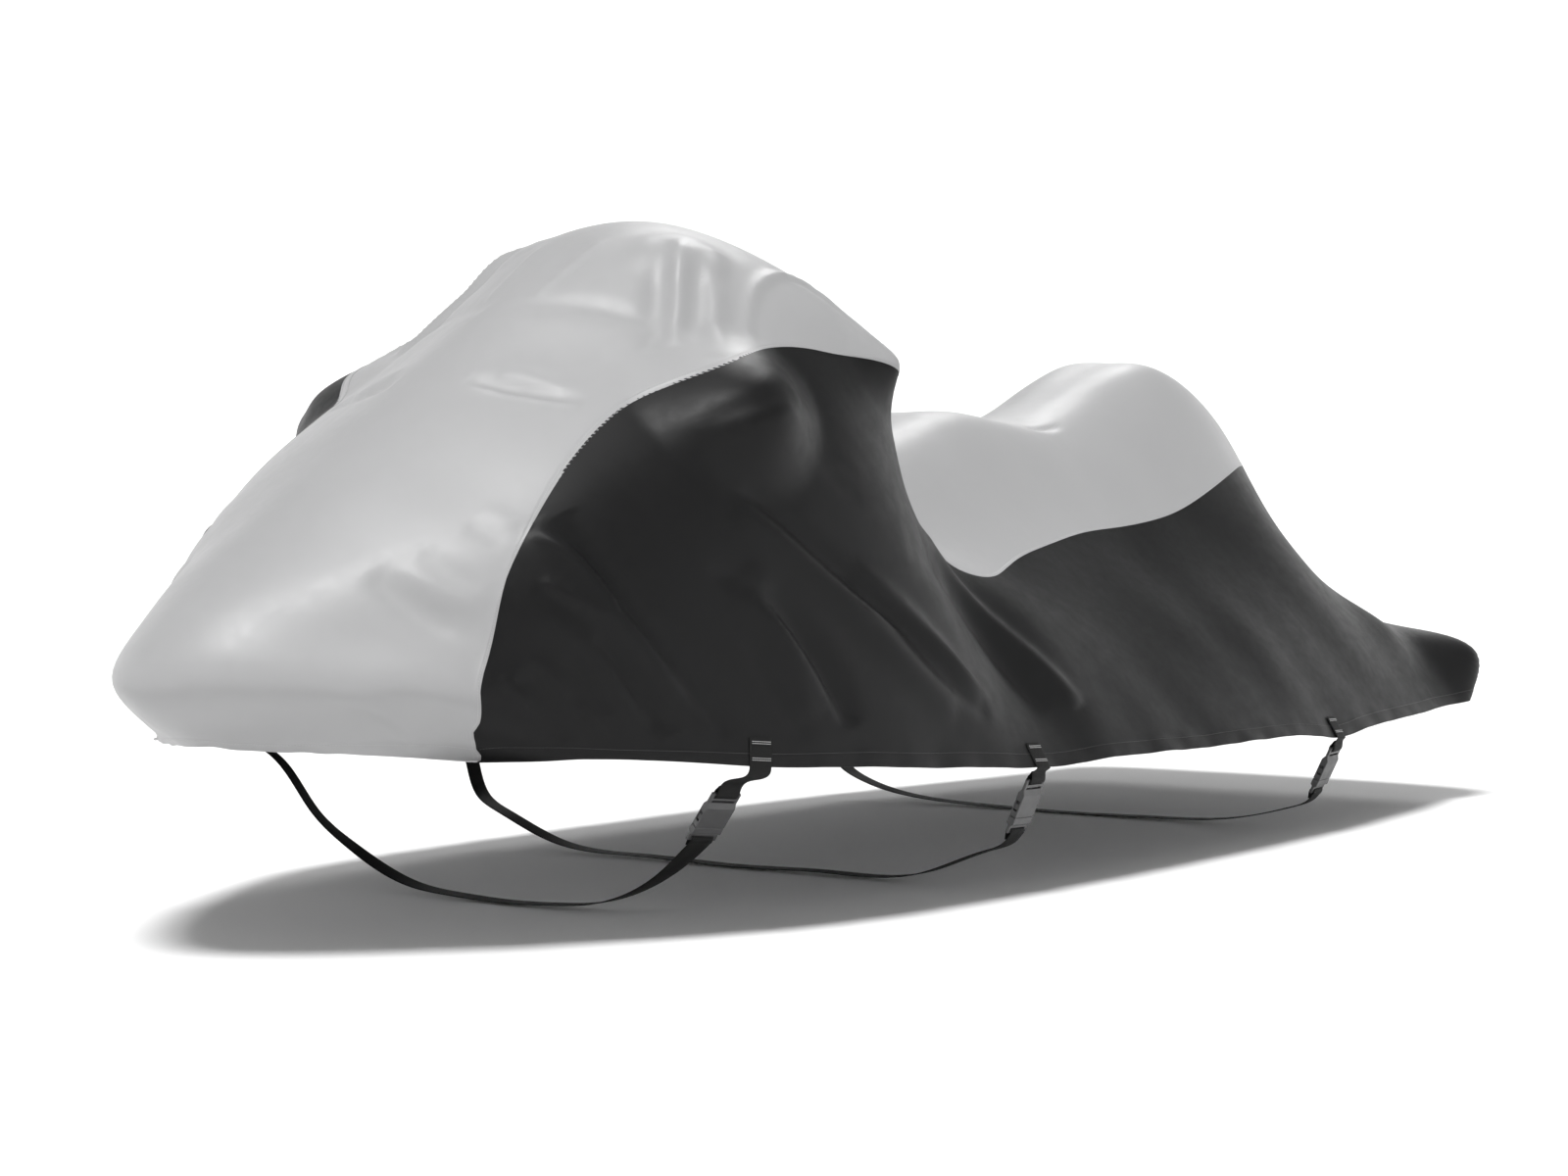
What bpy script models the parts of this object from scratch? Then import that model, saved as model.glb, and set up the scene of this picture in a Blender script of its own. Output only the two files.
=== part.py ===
"""A fitted cover for a three-seat personal watercraft, as it hangs drawn tight over the craft.

The cloth is cut as three panels: a silver one over the nose, hood, bars and seat, and a black one
down each side, which meet at the middle of the stern.  Three belly straps hold it.  Each has a
short web sewn to the port hem, a side-release buckle (socket and plug), and a long web that runs
under the left-out hull to its sewn end on the starboard hem.

The cloth follows one draped surface: a table of ribs from the bow hem to the stern hem, raised at
the mirrors and grips, and ridged or troughed along a table of folds.  +X is the bow, +Y is port
and +Z is up.  The tables are in the craft's own datum, whose zero is at mid-length and at the
level of the hem amidships; the finished part has its origin at the mount under its top.
"""
import math

import bmesh
import bpy
import numpy as np
from mathutils import Matrix, Vector
from mathutils.bvhtree import BVHTree

COLLECTION = "watercraft_cover"

# ---- driving dimensions, metres ----
CLOTH = 0.002              # coated cloth
HEM = 0.003                # doubled cloth at the hem
HEM_DEPTH = 0.028          # height of the turned-up hem
SEAM_GAP = 0.0004          # between the edges of two panels that are sewn together
WEB_WIDTH = 0.038
WEB_THICK = 0.002
SEWN_END = 0.042           # length of web that is stitched to the cloth above the hem
SEWN_SPANS = 5             # straight stretches of that web
SEWN_PROBES = np.linspace(-0.53, 0.53, 7)   # places across it where the cloth is felt for
BELOW_HEM = 0.0015         # how far it runs straight on past the hem
SEWN_CLEAR = 0.0006        # between that web and the cloth
TUCK = 0.013               # length of web folded back behind itself after it rounds a buckle's bar
LAP = 0.0024               # between the middles of two thicknesses of web that lie together

BUCKLE_WIDTH = 0.050
BUCKLE_LENGTH = 0.095
BODY_DEPTH = 0.013
LADDER_DEPTH = 0.005
BAR = 0.005                # bars that the web rounds, along the buckle
SLOT = 0.0042              # openings beside the bars
SIDE_RAIL = 0.005
RAMP = 0.008               # where the socket thickens from its ladder to its body
SOCKET_LENGTH = 0.066
CAVITY_WIDTH = 0.037
CAVITY_HEIGHT = 0.0082
CAVITY_START = 0.030
WINDOW = (0.038, 0.056)    # side windows, along the buckle
ARM = 0.0052               # width of the plug's arms
FIT = 0.0006               # clearance between the plug and the socket
EDGE = 0.0008              # rounding of the moulded edges

MOUNT = (0.500, 0.0, 0.869)   # just under the cloth at its highest place, in the craft datum

LEFT_SPANS = 12            # panel faces from the foot of the seam to its bend
TOP_SPANS = 38             # from the bend to the corner of the seat back
BACK_SPANS = 11            # from that corner to the middle of the seat back
FRONT_CROWDING = 1.7       # how much closer the faces lie ahead of the seat, where the folds are

# ---- the ribs: curves across the cover, from the bow hem back to the stern hem ----
# Each starts on the centreline (crown) and runs out and down to the port hem; the starboard half
# mirrors it.  wrap tells how late the rib leaves its crown's station for its hem's station.
RIBS = (
    # name          crown x,  z     brow y,  z      flank y,  z     skirt y,  z     hem x,   y,     z     wrap
    ("bow hem",      1.500, 0.090,  0.085, 0.086,  0.170, 0.080,  0.250, 0.075,  1.278, 0.322,  0.070, 1.1),
    ("lip under",    1.560, 0.125,  0.090, 0.123,  0.180, 0.118,  0.275, 0.107,  1.190, 0.380,  0.068, 1.5),
    ("lip",          1.590, 0.177,  0.100, 0.175,  0.205, 0.168,  0.330, 0.146,  1.100, 0.435,  0.065, 1.9),
    ("lip top",      1.545, 0.252,  0.110, 0.248,  0.225, 0.234,  0.365, 0.193,  1.010, 0.480,  0.060, 1.8),
    ("toe",          1.440, 0.335,  0.130, 0.330,  0.270, 0.314,  0.415, 0.242,  0.920, 0.520,  0.053, 1.7),
    ("hood low",     1.300, 0.432,  0.150, 0.427,  0.323, 0.393,  0.450, 0.272,  0.810, 0.555,  0.043, 1.6),
    ("hood mid",     1.130, 0.545,  0.170, 0.536,  0.365, 0.480,  0.482, 0.302,  0.700, 0.577,  0.034, 1.5),
    ("hood high",    0.950, 0.660,  0.176, 0.638,  0.387, 0.550,  0.502, 0.322,  0.580, 0.592,  0.024, 1.4),
    ("mirror",       0.780, 0.778,  0.178, 0.752,  0.390, 0.607,  0.507, 0.330,  0.460, 0.600,  0.017, 1.3),
    ("screen",       0.620, 0.856,  0.172, 0.828,  0.370, 0.657,  0.480, 0.350,  0.340, 0.606,  0.010, 1.2),
    ("bars",         0.440, 0.855,  0.165, 0.798,  0.330, 0.658,  0.378, 0.415,  0.240, 0.609,  0.005, 1.0),
    ("bars back",    0.300, 0.685,  0.142, 0.638,  0.238, 0.490,  0.372, 0.322,  0.150, 0.611,  0.003, 1.0),
    ("saddle",       0.140, 0.535,  0.140, 0.508,  0.272, 0.366,  0.435, 0.245,  0.050, 0.612,  0.003, 1.0),
    ("seat front",  -0.080, 0.540,  0.138, 0.516,  0.272, 0.368,  0.446, 0.210, -0.120, 0.612,  0.001, 1.0),
    ("driver seat", -0.300, 0.577,  0.138, 0.547,  0.263, 0.370,  0.440, 0.200, -0.320, 0.610, -0.001, 1.0),
    ("seat dip",    -0.520, 0.560,  0.138, 0.532,  0.260, 0.370,  0.440, 0.200, -0.540, 0.603, -0.002, 1.0),
    ("seat rise",   -0.720, 0.614,  0.130, 0.575,  0.260, 0.380,  0.440, 0.200, -0.740, 0.592, -0.003, 1.0),
    ("rear seat",   -0.930, 0.682,  0.133, 0.642,  0.266, 0.400,  0.430, 0.200, -0.930, 0.575, -0.009, 1.0),
    ("seat back",   -1.115, 0.653,  0.133, 0.608,  0.260, 0.398,  0.425, 0.192, -1.110, 0.555, -0.009, 1.0),
    ("back slope",  -1.275, 0.525,  0.133, 0.477,  0.256, 0.315,  0.413, 0.170, -1.260, 0.535, -0.008, 1.0),
    ("deck front",  -1.390, 0.290,  0.150, 0.271,  0.283, 0.220,  0.412, 0.156, -1.390, 0.517, -0.004, 1.0),
    ("deck",        -1.550, 0.198,  0.150, 0.190,  0.300, 0.160,  0.430, 0.117, -1.510, 0.506, -0.001, 3.0),
    ("stern edge",  -1.700, 0.146,  0.160, 0.140,  0.318, 0.121,  0.470, 0.090, -1.590, 0.496,  0.003, 4.0),
    ("transom",     -1.712, 0.090,  0.155, 0.086,  0.292, 0.072,  0.404, 0.052, -1.615, 0.458,  0.007, 4.0),
    ("stern hem",   -1.640, 0.033,  0.120, 0.030,  0.240, 0.022,  0.350, 0.013, -1.620, 0.428,  0.006, 4.0),
)
ACROSS = np.array([0.0, 0.25, 0.5, 0.75, 1.0])   # where the five places lie along a rib

# ---- what stands under the cloth and lifts it; each is on both sides ----
BUMPS = (
    # name            centre x,  y,     z      radius  push x,  y,     z      pointed
    ("mirror",         0.780,   0.405, 0.590,  0.180,  0.020,  0.085,  0.010,  False),
    ("grip",           0.345,   0.360, 0.650,  0.120,  0.006,  0.065,  0.000,  True),
    ("screen corner",  0.640,   0.180, 0.820,  0.100,  0.000,  0.010,  0.012,  False),
)

# ---- the seam between the silver panel and the port panel, on the surface ----
SEAM = (
    # place              u      v
    ("foot",             0.000, 1.000),
    ("above foot",       0.013, 0.876),
    ("low front",        0.029, 0.802),
    ("front",            0.045, 0.746),
    ("front middle",     0.063, 0.694),
    ("front high",       0.097, 0.592),
    ("bend low",         0.130, 0.498),
    ("bend",             0.166, 0.423),
    ("bend high",        0.212, 0.382),
    ("under mirror",     0.246, 0.403),
    ("mirror",           0.285, 0.446),
    ("behind mirror",    0.320, 0.502),
    ("grip",             0.355, 0.548),
    ("down from grip",   0.390, 0.640),
    ("foot well",        0.428, 0.712),
    ("well side",        0.456, 0.668),
    ("seat side front",  0.490, 0.608),
    ("driver side",      0.540, 0.557),
    ("seat side mid",    0.600, 0.512),
    ("seat side rear",   0.670, 0.500),
    ("rear seat side",   0.735, 0.470),
    ("seat corner",      0.795, 0.395),
    ("seat back corner", 0.828, 0.270),
    ("seat back",        0.841, 0.130),
    ("centre",           0.844, 0.000),
)
SEAM_BEND = 0.165          # where along the seam the side panels turn their first corner
SEAM_CORNER = 0.880        # where along it the silver panel has its back corners

# ---- the main folds, each a soft ridge or trough along a curve on the surface; on both sides ----
FOLDS = (
    # name                     start u, v       middle u, v      end u, v       half width, height
    ("front long trough",      0.148, 0.504,    0.121, 0.742,    0.106, 0.955,    0.022,  -0.011),
    ("front long ridge",       0.136, 0.491,    0.124, 0.640,    0.100, 0.880,    0.024,   0.009),
    ("front low trough",       0.098, 0.749,    0.083, 0.871,    0.075, 0.940,    0.022,  -0.008),
    ("front short trough",     0.060, 0.749,    0.048, 0.833,    0.037, 0.920,    0.020,  -0.007),
    ("side broad ridge",       0.181, 0.726,    0.179, 0.826,    0.168, 0.931,    0.032,   0.010),
    ("side trough",            0.191, 0.753,    0.198, 0.867,    0.192, 0.945,    0.024,  -0.010),
    ("side long ridge",        0.202, 0.635,    0.236, 0.793,    0.288, 0.931,    0.032,   0.012),
    ("side long trough",       0.212, 0.611,    0.250, 0.773,    0.318, 0.940,    0.020,  -0.012),
    ("side second ridge",      0.254, 0.758,    0.289, 0.833,    0.316, 0.924,    0.022,   0.009),
    ("well ridge",             0.340, 0.769,    0.422, 0.842,    0.452, 0.927,    0.026,   0.012),
    ("well trough",            0.307, 0.737,    0.384, 0.884,    0.414, 0.938,    0.034,  -0.008),
    ("mirror valley",          0.219, 0.484,    0.245, 0.491,    0.263, 0.515,    0.022,  -0.012),
    ("hood crease",            0.212, 0.108,    0.209, 0.228,    0.208, 0.339,    0.018,  -0.007),
    ("hood low trough",        0.102, 0.346,    0.080, 0.533,    0.075, 0.640,    0.024,  -0.006),
    ("screen fold",            0.315, 0.277,    0.286, 0.359,    0.255, 0.405,    0.020,   0.007),
    ("screen second fold",     0.305, 0.239,    0.280, 0.306,    0.255, 0.359,    0.020,   0.007),
)
FOLD_STEPS = 12            # straight stretches that each fold's curve is measured along

# ---- the belly straps, port half; the buckle's foot only gives its direction ----
STRAPS = (
    # name    hem x, pull     buckle top x, y, z      buckle foot x, y, z     bilge x, y, z
    ("fore",  0.900, 0.006,   0.880, 0.452,  0.001,   0.862, 0.375, -0.092,   0.857, 0.325, -0.126),
    ("mid",   0.265, 0.004,   0.265, 0.599, -0.016,   0.265, 0.562, -0.098,   0.265, 0.513, -0.135),
    ("aft",  -0.825, 0.016,  -0.825, 0.577, -0.040,  -0.825, 0.540, -0.116,  -0.825, 0.495, -0.155),
)
UNDERSIDES = {
    # name    chine x, y, z           keel x, z
    "fore":  (0.852, 0.190, -0.182,   0.850, -0.195),
    "mid":   (0.265, 0.380, -0.182,   0.265, -0.196),
    "aft":  (-0.825, 0.360, -0.186,  -0.825, -0.198),
}
PULL_REACH = 0.130         # how far along the hem a strap draws it down

FINISHES = {
    # name             colour                 roughness
    "silver_cloth":   ((0.60, 0.60, 0.61), 0.45),
    "black_cloth":    ((0.030, 0.030, 0.031), 0.60),
    "black_webbing":  ((0.012, 0.012, 0.012), 0.80),
    "grey_plastic":   ((0.110, 0.110, 0.112), 0.40),
}


# ---- the draped surface ----
def spline(knots, values, at):
    """Natural cubic spline through values at the knots, read at the given places."""
    knots = np.asarray(knots, float)
    values = np.asarray(values, float)
    count = len(knots)
    flat = values.reshape(count, -1)
    span = np.diff(knots)
    slope = np.diff(flat, axis=0) / span[:, None]
    inner = np.arange(1, count - 1)
    system = np.eye(count)
    system[inner, inner - 1] = span[:-1]
    system[inner, inner] = 2 * (span[:-1] + span[1:])
    system[inner, inner + 1] = span[1:]
    right = np.zeros_like(flat)
    right[1:-1] = 6 * np.diff(slope, axis=0)
    bend = np.linalg.solve(system, right)
    at = np.asarray(at, float)
    where = at.ravel()
    k = np.clip(np.searchsorted(knots, where, side="right") - 1, 0, count - 2)
    step = (where - knots[k])[:, None]
    width = span[k][:, None]
    cubic = (bend[k + 1] - bend[k]) / (6 * width)
    linear = slope[k] - width * (2 * bend[k] + bend[k + 1]) / 6
    out = flat[k] + step * (linear + step * (bend[k] / 2 + step * cubic))
    return out.reshape(at.shape + values.shape[1:])


def rib_points():
    """Nine points for each rib, from the starboard hem over the crown to the port hem."""
    rows = []
    for _, crown_x, crown_z, brow_y, brow_z, flank_y, flank_z, skirt_y, skirt_z, \
            hem_x, hem_y, hem_z, wrap in RIBS:
        x = crown_x + (hem_x - crown_x) * ACROSS ** wrap
        y = np.array([0.0, brow_y, flank_y, skirt_y, hem_y])
        z = np.array([crown_z, brow_z, flank_z, skirt_z, hem_z])
        port = np.stack([x, y, z], axis=-1)
        rows.append(np.concatenate([port[:0:-1] * (1, -1, 1), port]))
    return np.array(rows)


def running_length(points):
    """Length along a row of points, starting from nought."""
    return np.concatenate([[0.0], np.cumsum(np.linalg.norm(np.diff(points, axis=0), axis=1))])


RIB_POINTS = rib_points()
RIB_STEPS = np.linalg.norm(np.diff(RIB_POINTS[:, len(ACROSS) - 1:], axis=0), axis=-1).mean(axis=1)
RIB_PLACES = np.concatenate([[0.0], np.cumsum(RIB_STEPS)]) / RIB_STEPS.sum()
RIB_ACROSS = np.concatenate([-ACROSS[:0:-1], ACROSS])


def lofted(u, v):
    """The surface through the ribs: u from the bow hem to the stern hem, v from -1 to 1 across."""
    u, v = np.broadcast_arrays(np.asarray(u, float), np.asarray(v, float))
    along = spline(RIB_PLACES, RIB_POINTS, u.ravel())
    across = spline(RIB_ACROSS, np.eye(len(RIB_ACROSS)), v.ravel())
    return np.einsum("nk,nkc->nc", across, along).reshape(u.shape + (3,))


def surface(u, v):
    """The lofted surface, pushed out by the bumps and drawn down at the hem by the straps."""
    points = lofted(u, v)
    near_hem = np.clip(np.abs(np.broadcast_to(v, points.shape[:-1])) * 4 - 3, 0, 1) ** 2
    for _, strap_x, pull, *_ in STRAPS:
        reach = np.exp(-((points[..., 0] - strap_x) / PULL_REACH) ** 2)
        points[..., 2] -= pull * reach * near_hem
    for _, x, y, z, radius, push_x, push_y, push_z, pointed in BUMPS:
        for side in (1, -1):
            distance = np.linalg.norm(points - np.array([x, y * side, z]), axis=-1) / radius
            inside = np.clip(1 - distance if pointed else 1 - distance ** 2, 0, 1)
            points = points + (inside ** 2)[..., None] * np.array([push_x, push_y * side, push_z])
    return points


def normals(u, v, reach=1e-3):
    """Unit vectors out of the cloth."""
    u, v = np.broadcast_arrays(np.asarray(u, float), np.asarray(v, float))
    along = surface(u + reach, v) - surface(u - reach, v)
    across = surface(u, v + reach) - surface(u, v - reach)
    out = np.cross(across, along)
    return out / np.linalg.norm(out, axis=-1, keepdims=True)


def fold_heights(points):
    """How far the folds raise or sink the cloth at each point, the same on both sides."""
    shape = points.shape[:-1]
    here = points.reshape(-1, 3) * (1, 0, 1) + np.abs(points.reshape(-1, 3)) * (0, 1, 0)
    height = np.zeros(len(here))
    for _, u0, v0, u1, v1, u2, v2, half_width, rise in FOLDS:
        t = np.linspace(0, 1, FOLD_STEPS + 1)
        u = spline((0, 0.5, 1), (u0, u1, u2), t)
        v = spline((0, 0.5, 1), (v0, v1, v2), t)
        line = surface(u, v)
        nearest = np.full(len(here), np.inf)
        place = np.zeros(len(here))
        for k in range(FOLD_STEPS):
            run = line[k + 1] - line[k]
            share = np.clip((here - line[k]) @ run / (run @ run), 0, 1)
            distance = np.linalg.norm(here - line[k] - share[:, None] * run, axis=1)
            closer = distance < nearest
            nearest = np.where(closer, distance, nearest)
            place = np.where(closer, (k + share) / FOLD_STEPS, place)
        fade = np.sqrt(np.clip(4 * place * (1 - place), 0, 1))
        height += rise * fade * np.exp(-(nearest / half_width) ** 2)
    return height.reshape(shape)


def draped(u, v):
    """Points on the outside of the cloth, and the unit vectors out of it."""
    points = surface(u, v)
    out = normals(u, v)
    return points + fold_heights(points)[..., None] * out, out


# ---- the seam and the hem, as curves on the surface ----
SEAM_UV = np.array([row[1:] for row in SEAM])
SEAM_PAST = np.concatenate([SEAM_UV, SEAM_UV[-2:-4:-1] * (1, -1)])   # carries it square past the centre
SEAM_LENGTHS = running_length(surface(SEAM_PAST[:, 0], SEAM_PAST[:, 1]))
SEAM_PLACES = SEAM_LENGTHS / SEAM_LENGTHS[len(SEAM_UV) - 1]


def seam_at(t):
    """The port seam at t, from 0 at its foot to 1 at the middle of the seat back."""
    return spline(SEAM_PLACES, SEAM_PAST, t)


def side_hem_at(t):
    """The port hem at t, from 0 at the seam's foot over 1 at the stern corner to 2 at its middle."""
    t = np.asarray(t, float)
    return np.stack([np.minimum(t, 1), np.clip(2 - t, 0, 1)], axis=-1)


def bow_hem_at(t):
    """The bow hem at t, from 0 at the port foot to 1 at the starboard foot."""
    t = np.asarray(t, float)
    return np.stack([0 * t, 1 - 2 * t], axis=-1)


def stern_middle_at(t):
    """The middle line at t, from 0 at the seat back to 1 at the stern hem."""
    t = np.asarray(t, float)
    start = SEAM_UV[-1, 0]
    return np.stack([start + (1 - start) * t, 0 * t], axis=-1)


def crowded_length(points):
    """Length along a row of points, counted more where the faces are to lie closer."""
    middle = (points[1:, 0] + points[:-1, 0]) / 2
    weight = 1 + (FRONT_CROWDING - 1) / (1 + np.exp(-(middle - 0.05) / 0.08))
    steps = np.linalg.norm(np.diff(points, axis=0), axis=1)
    return np.concatenate([[0.0], np.cumsum(steps * weight)])


def spaced(curve, spans, start=0.0, end=1.0, hem_first=False, fine=600):
    """spans + 1 places on a curve, evenly spaced, with the first span as deep as the hem if asked."""
    t = np.linspace(start, end, fine)
    points = surface(*curve(t).T)
    if not hem_first:
        length = crowded_length(points)
        return np.interp(np.linspace(0, length[-1], spans + 1), length, t)
    length = running_length(points)
    marks = np.concatenate([[0.0], np.linspace(HEM_DEPTH, length[-1], spans)])
    return np.interp(marks, length, t)


def filled(left, right, top, bottom):
    """Fill four edges on the surface: left and right run down, top and bottom run across."""
    p = np.linspace(0, 1, len(top))[:, None, None]
    q = np.linspace(0, 1, len(left))[None, :, None]
    ruled = (1 - q) * top[:, None] + q * bottom[:, None] + (1 - p) * left[None] + p * right[None]
    corners = (1 - p) * ((1 - q) * top[0] + q * bottom[0]) + p * ((1 - q) * top[-1] + q * bottom[-1])
    return ruled - corners


def respaced(grid, left_shares, right_shares):
    """Move a fine grid's places along each of its columns to the shares of length asked for."""
    columns = len(grid)
    out = np.empty((columns, len(left_shares), 2))
    for column in range(columns):
        blend = column / (columns - 1)
        shares = (1 - blend) * left_shares + blend * right_shares
        length = running_length(surface(*grid[column].T))
        marks = shares * length[-1]
        out[column, :, 0] = np.interp(marks, length, grid[column, :, 0])
        out[column, :, 1] = np.interp(marks, length, grid[column, :, 1])
    return out


def length_shares(uv):
    """Each place's share of the length along a row of places on the surface."""
    length = running_length(surface(*uv.T))
    return length / length[-1]


SEAM_STOPS = np.concatenate([
    spaced(seam_at, LEFT_SPANS, 0.0, SEAM_BEND, hem_first=True),
    spaced(seam_at, TOP_SPANS, SEAM_BEND, SEAM_CORNER)[1:],
    spaced(seam_at, BACK_SPANS, SEAM_CORNER, 1.0)[1:],
])
FINE = 80                  # places down each column before they are respaced


def port_panel_uv():
    """Grid of the port panel: columns along it from the seam's bend aft, rows down to the hem."""
    left = seam_at(SEAM_STOPS[:LEFT_SPANS + 1])[::-1]
    top = seam_at(SEAM_STOPS[LEFT_SPANS:])
    bottom = side_hem_at(spaced(side_hem_at, len(top) - 1, 0.0, 2.0))
    down = spaced(lambda t: stern_middle_at(1 - t), LEFT_SPANS, hem_first=True)
    right = stern_middle_at(1 - down)[::-1]
    fine_left = seam_at(np.linspace(SEAM_STOPS[LEFT_SPANS], 0.0, FINE))
    fine_right = stern_middle_at(np.linspace(0, 1, FINE))
    grid = respaced(filled(fine_left, fine_right, top, bottom), length_shares(left), length_shares(right))
    grid[0], grid[-1] = left, right
    grid[:, 0], grid[:, -1] = top, bottom
    return grid


def silver_panel_uv():
    """Grid of the silver panel: columns from port to starboard, rows from the bow hem aft."""
    side = seam_at(SEAM_STOPS[:LEFT_SPANS + TOP_SPANS + 1])
    half_back = seam_at(SEAM_STOPS[LEFT_SPANS + TOP_SPANS:])
    back = np.concatenate([half_back, half_back[-2::-1] * (1, -1)])
    front = bow_hem_at(spaced(bow_hem_at, 2 * BACK_SPANS))
    fine_side = seam_at(np.linspace(0.0, SEAM_STOPS[LEFT_SPANS + TOP_SPANS], FINE))
    grid = filled(fine_side, fine_side * (1, -1), front, back)
    shares = length_shares(side)
    grid = respaced(grid, shares, shares)
    grid[0], grid[-1] = side, side * (1, -1)
    grid[:, 0], grid[:, -1] = front, back
    return grid


def seam_inward(uv):
    """Unit vectors in the cloth at the port seam, square to it and towards the silver panel."""
    points, out = draped(*uv.T)
    run = np.gradient(points, axis=0)
    run[-1] = (0, -1, 0)
    inward = np.cross(out, run)
    inward -= (inward * out).sum(axis=1, keepdims=True) * out
    return inward / np.linalg.norm(inward, axis=1, keepdims=True)


# ---- scene helpers ----
def finish(name):
    """The plain finish of that name, made once."""
    material = bpy.data.materials.get(name) or bpy.data.materials.new(name)
    colour, roughness = FINISHES[name]
    material.use_nodes = True
    shader = material.node_tree.nodes["Principled BSDF"]
    shader.inputs["Base Color"].default_value = (*colour, 1.0)
    shader.inputs["Roughness"].default_value = roughness
    shader.inputs["Metallic"].default_value = 0.0
    return material


def add_object(name, mesh, collection, material, parent):
    """Link a mesh as a named object under the datum."""
    thing = bpy.data.objects.new(name, mesh)
    collection.objects.link(thing)
    thing.parent = parent
    if not mesh.materials:
        mesh.materials.append(finish(material))
    return thing


def mesh_from(name, points, faces):
    """A mesh from an array of points and a list of faces."""
    mesh = bpy.data.meshes.new(name)
    mesh.from_pydata(points.tolist(), [], faces)
    mesh.validate()
    mesh.update()
    return mesh


# ---- panels ----
def wall_mesh(name, outer, out, thick, mirrored=False):
    """A closed cloth wall: the outer skin, the inner skin a thickness behind it, and the edge."""
    inner = outer - out * thick[..., None]
    rows, columns = outer.shape[:2]
    index = np.arange(rows * columns).reshape(rows, columns)
    back = rows * columns
    faces = []
    for i in range(rows - 1):
        for j in range(columns - 1):
            a, b, c, d = (int(k) for k in (index[i, j], index[i + 1, j], index[i + 1, j + 1], index[i, j + 1]))
            short = np.linalg.norm(outer[i, j] - outer[i + 1, j + 1])
            other = np.linalg.norm(outer[i + 1, j] - outer[i, j + 1])
            pair = ((a, b, c), (a, c, d)) if short <= other else ((a, b, d), (b, c, d))
            for face in pair:
                faces.append(face)
                faces.append(tuple(k + back for k in reversed(face)))
    ring = np.concatenate([index[:-1, 0], index[-1, :-1], index[:0:-1, -1], index[0, :0:-1]])
    for here, following in zip(ring.tolist(), np.roll(ring, -1).tolist()):
        faces.append((following, here, here + back))
        faces.append((following, here + back, following + back))
    if mirrored:
        faces = [tuple(reversed(face)) for face in faces]
    points = np.concatenate([outer.reshape(-1, 3), inner.reshape(-1, 3)])
    mesh = mesh_from(name, points, faces)
    mesh.shade_smooth()
    mesh.set_sharp_from_angle(angle=math.radians(40))
    return mesh


def port_wall():
    """The port panel's outer points, the vectors out of them and its thickness."""
    uv = port_panel_uv()
    outer, out = draped(uv[..., 0], uv[..., 1])
    inward = seam_inward(seam_at(SEAM_STOPS)) * SEAM_GAP / 2
    outer[:, 0] -= inward[LEFT_SPANS:]
    outer[0, 1:] -= inward[:LEFT_SPANS][::-1]
    outer[-1, :, 1] = SEAM_GAP / 2
    out[-1, :, 1] = 0
    thick = np.full(outer.shape[:2], CLOTH)
    thick[:, -2:] = HEM
    return outer, out, thick


def silver_wall():
    """The silver panel's outer points, the vectors out of them and its thickness."""
    uv = silver_panel_uv()
    outer, out = draped(uv[..., 0], uv[..., 1])
    inward = seam_inward(seam_at(SEAM_STOPS)) * SEAM_GAP / 2
    side = LEFT_SPANS + TOP_SPANS
    mirror = np.array([1, -1, 1])
    outer[0] += inward[:side + 1]
    outer[-1] += inward[:side + 1] * mirror
    half = np.concatenate([inward[side + 1:], (inward[side + 1:-1] * mirror)[::-1]])
    outer[1:-1, -1] += half
    thick = np.full(outer.shape[:2], CLOTH)
    thick[:, :2] = HEM
    return outer, out, thick


def add_panels(collection, datum):
    """The three cloth panels; gives back the port one's faces, for what is sewn on them."""
    outer, out, thick = silver_wall()
    add_object("panel_silver", wall_mesh("panel_silver", outer, out, thick, True), collection, "silver_cloth", datum)
    outer, out, thick = port_wall()
    mirror = np.array([1, -1, 1])
    port = wall_mesh("panel_black_port", outer, out, thick, True)
    add_object("panel_black_port", port, collection, "black_cloth", datum)
    add_object("panel_black_starboard",
               wall_mesh("panel_black_starboard", outer * mirror, out * mirror, thick),
               collection, "black_cloth", datum)
    corners = [vertex.co.copy() for vertex in port.vertices]
    return BVHTree.FromPolygons(corners, [tuple(face.vertices) for face in port.polygons])


# ---- straps: paths ----
def unit(vector):
    """The same direction, one long."""
    return vector / np.linalg.norm(vector)


def hem_place(x):
    """u of the port hem at a station."""
    u = np.linspace(0.0, 0.95, 1200)
    station = surface(u, np.ones_like(u))[:, 0]
    return float(np.interp(-x, -station, u))


def cloth_height(cloth, place, out):
    """How far the cloth stands out from a place near it, or None where there is no cloth."""
    distance = cloth.ray_cast(Vector(place + out * 0.03), Vector(-out), 0.06)[3]
    return None if distance is None else 0.03 - distance


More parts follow.
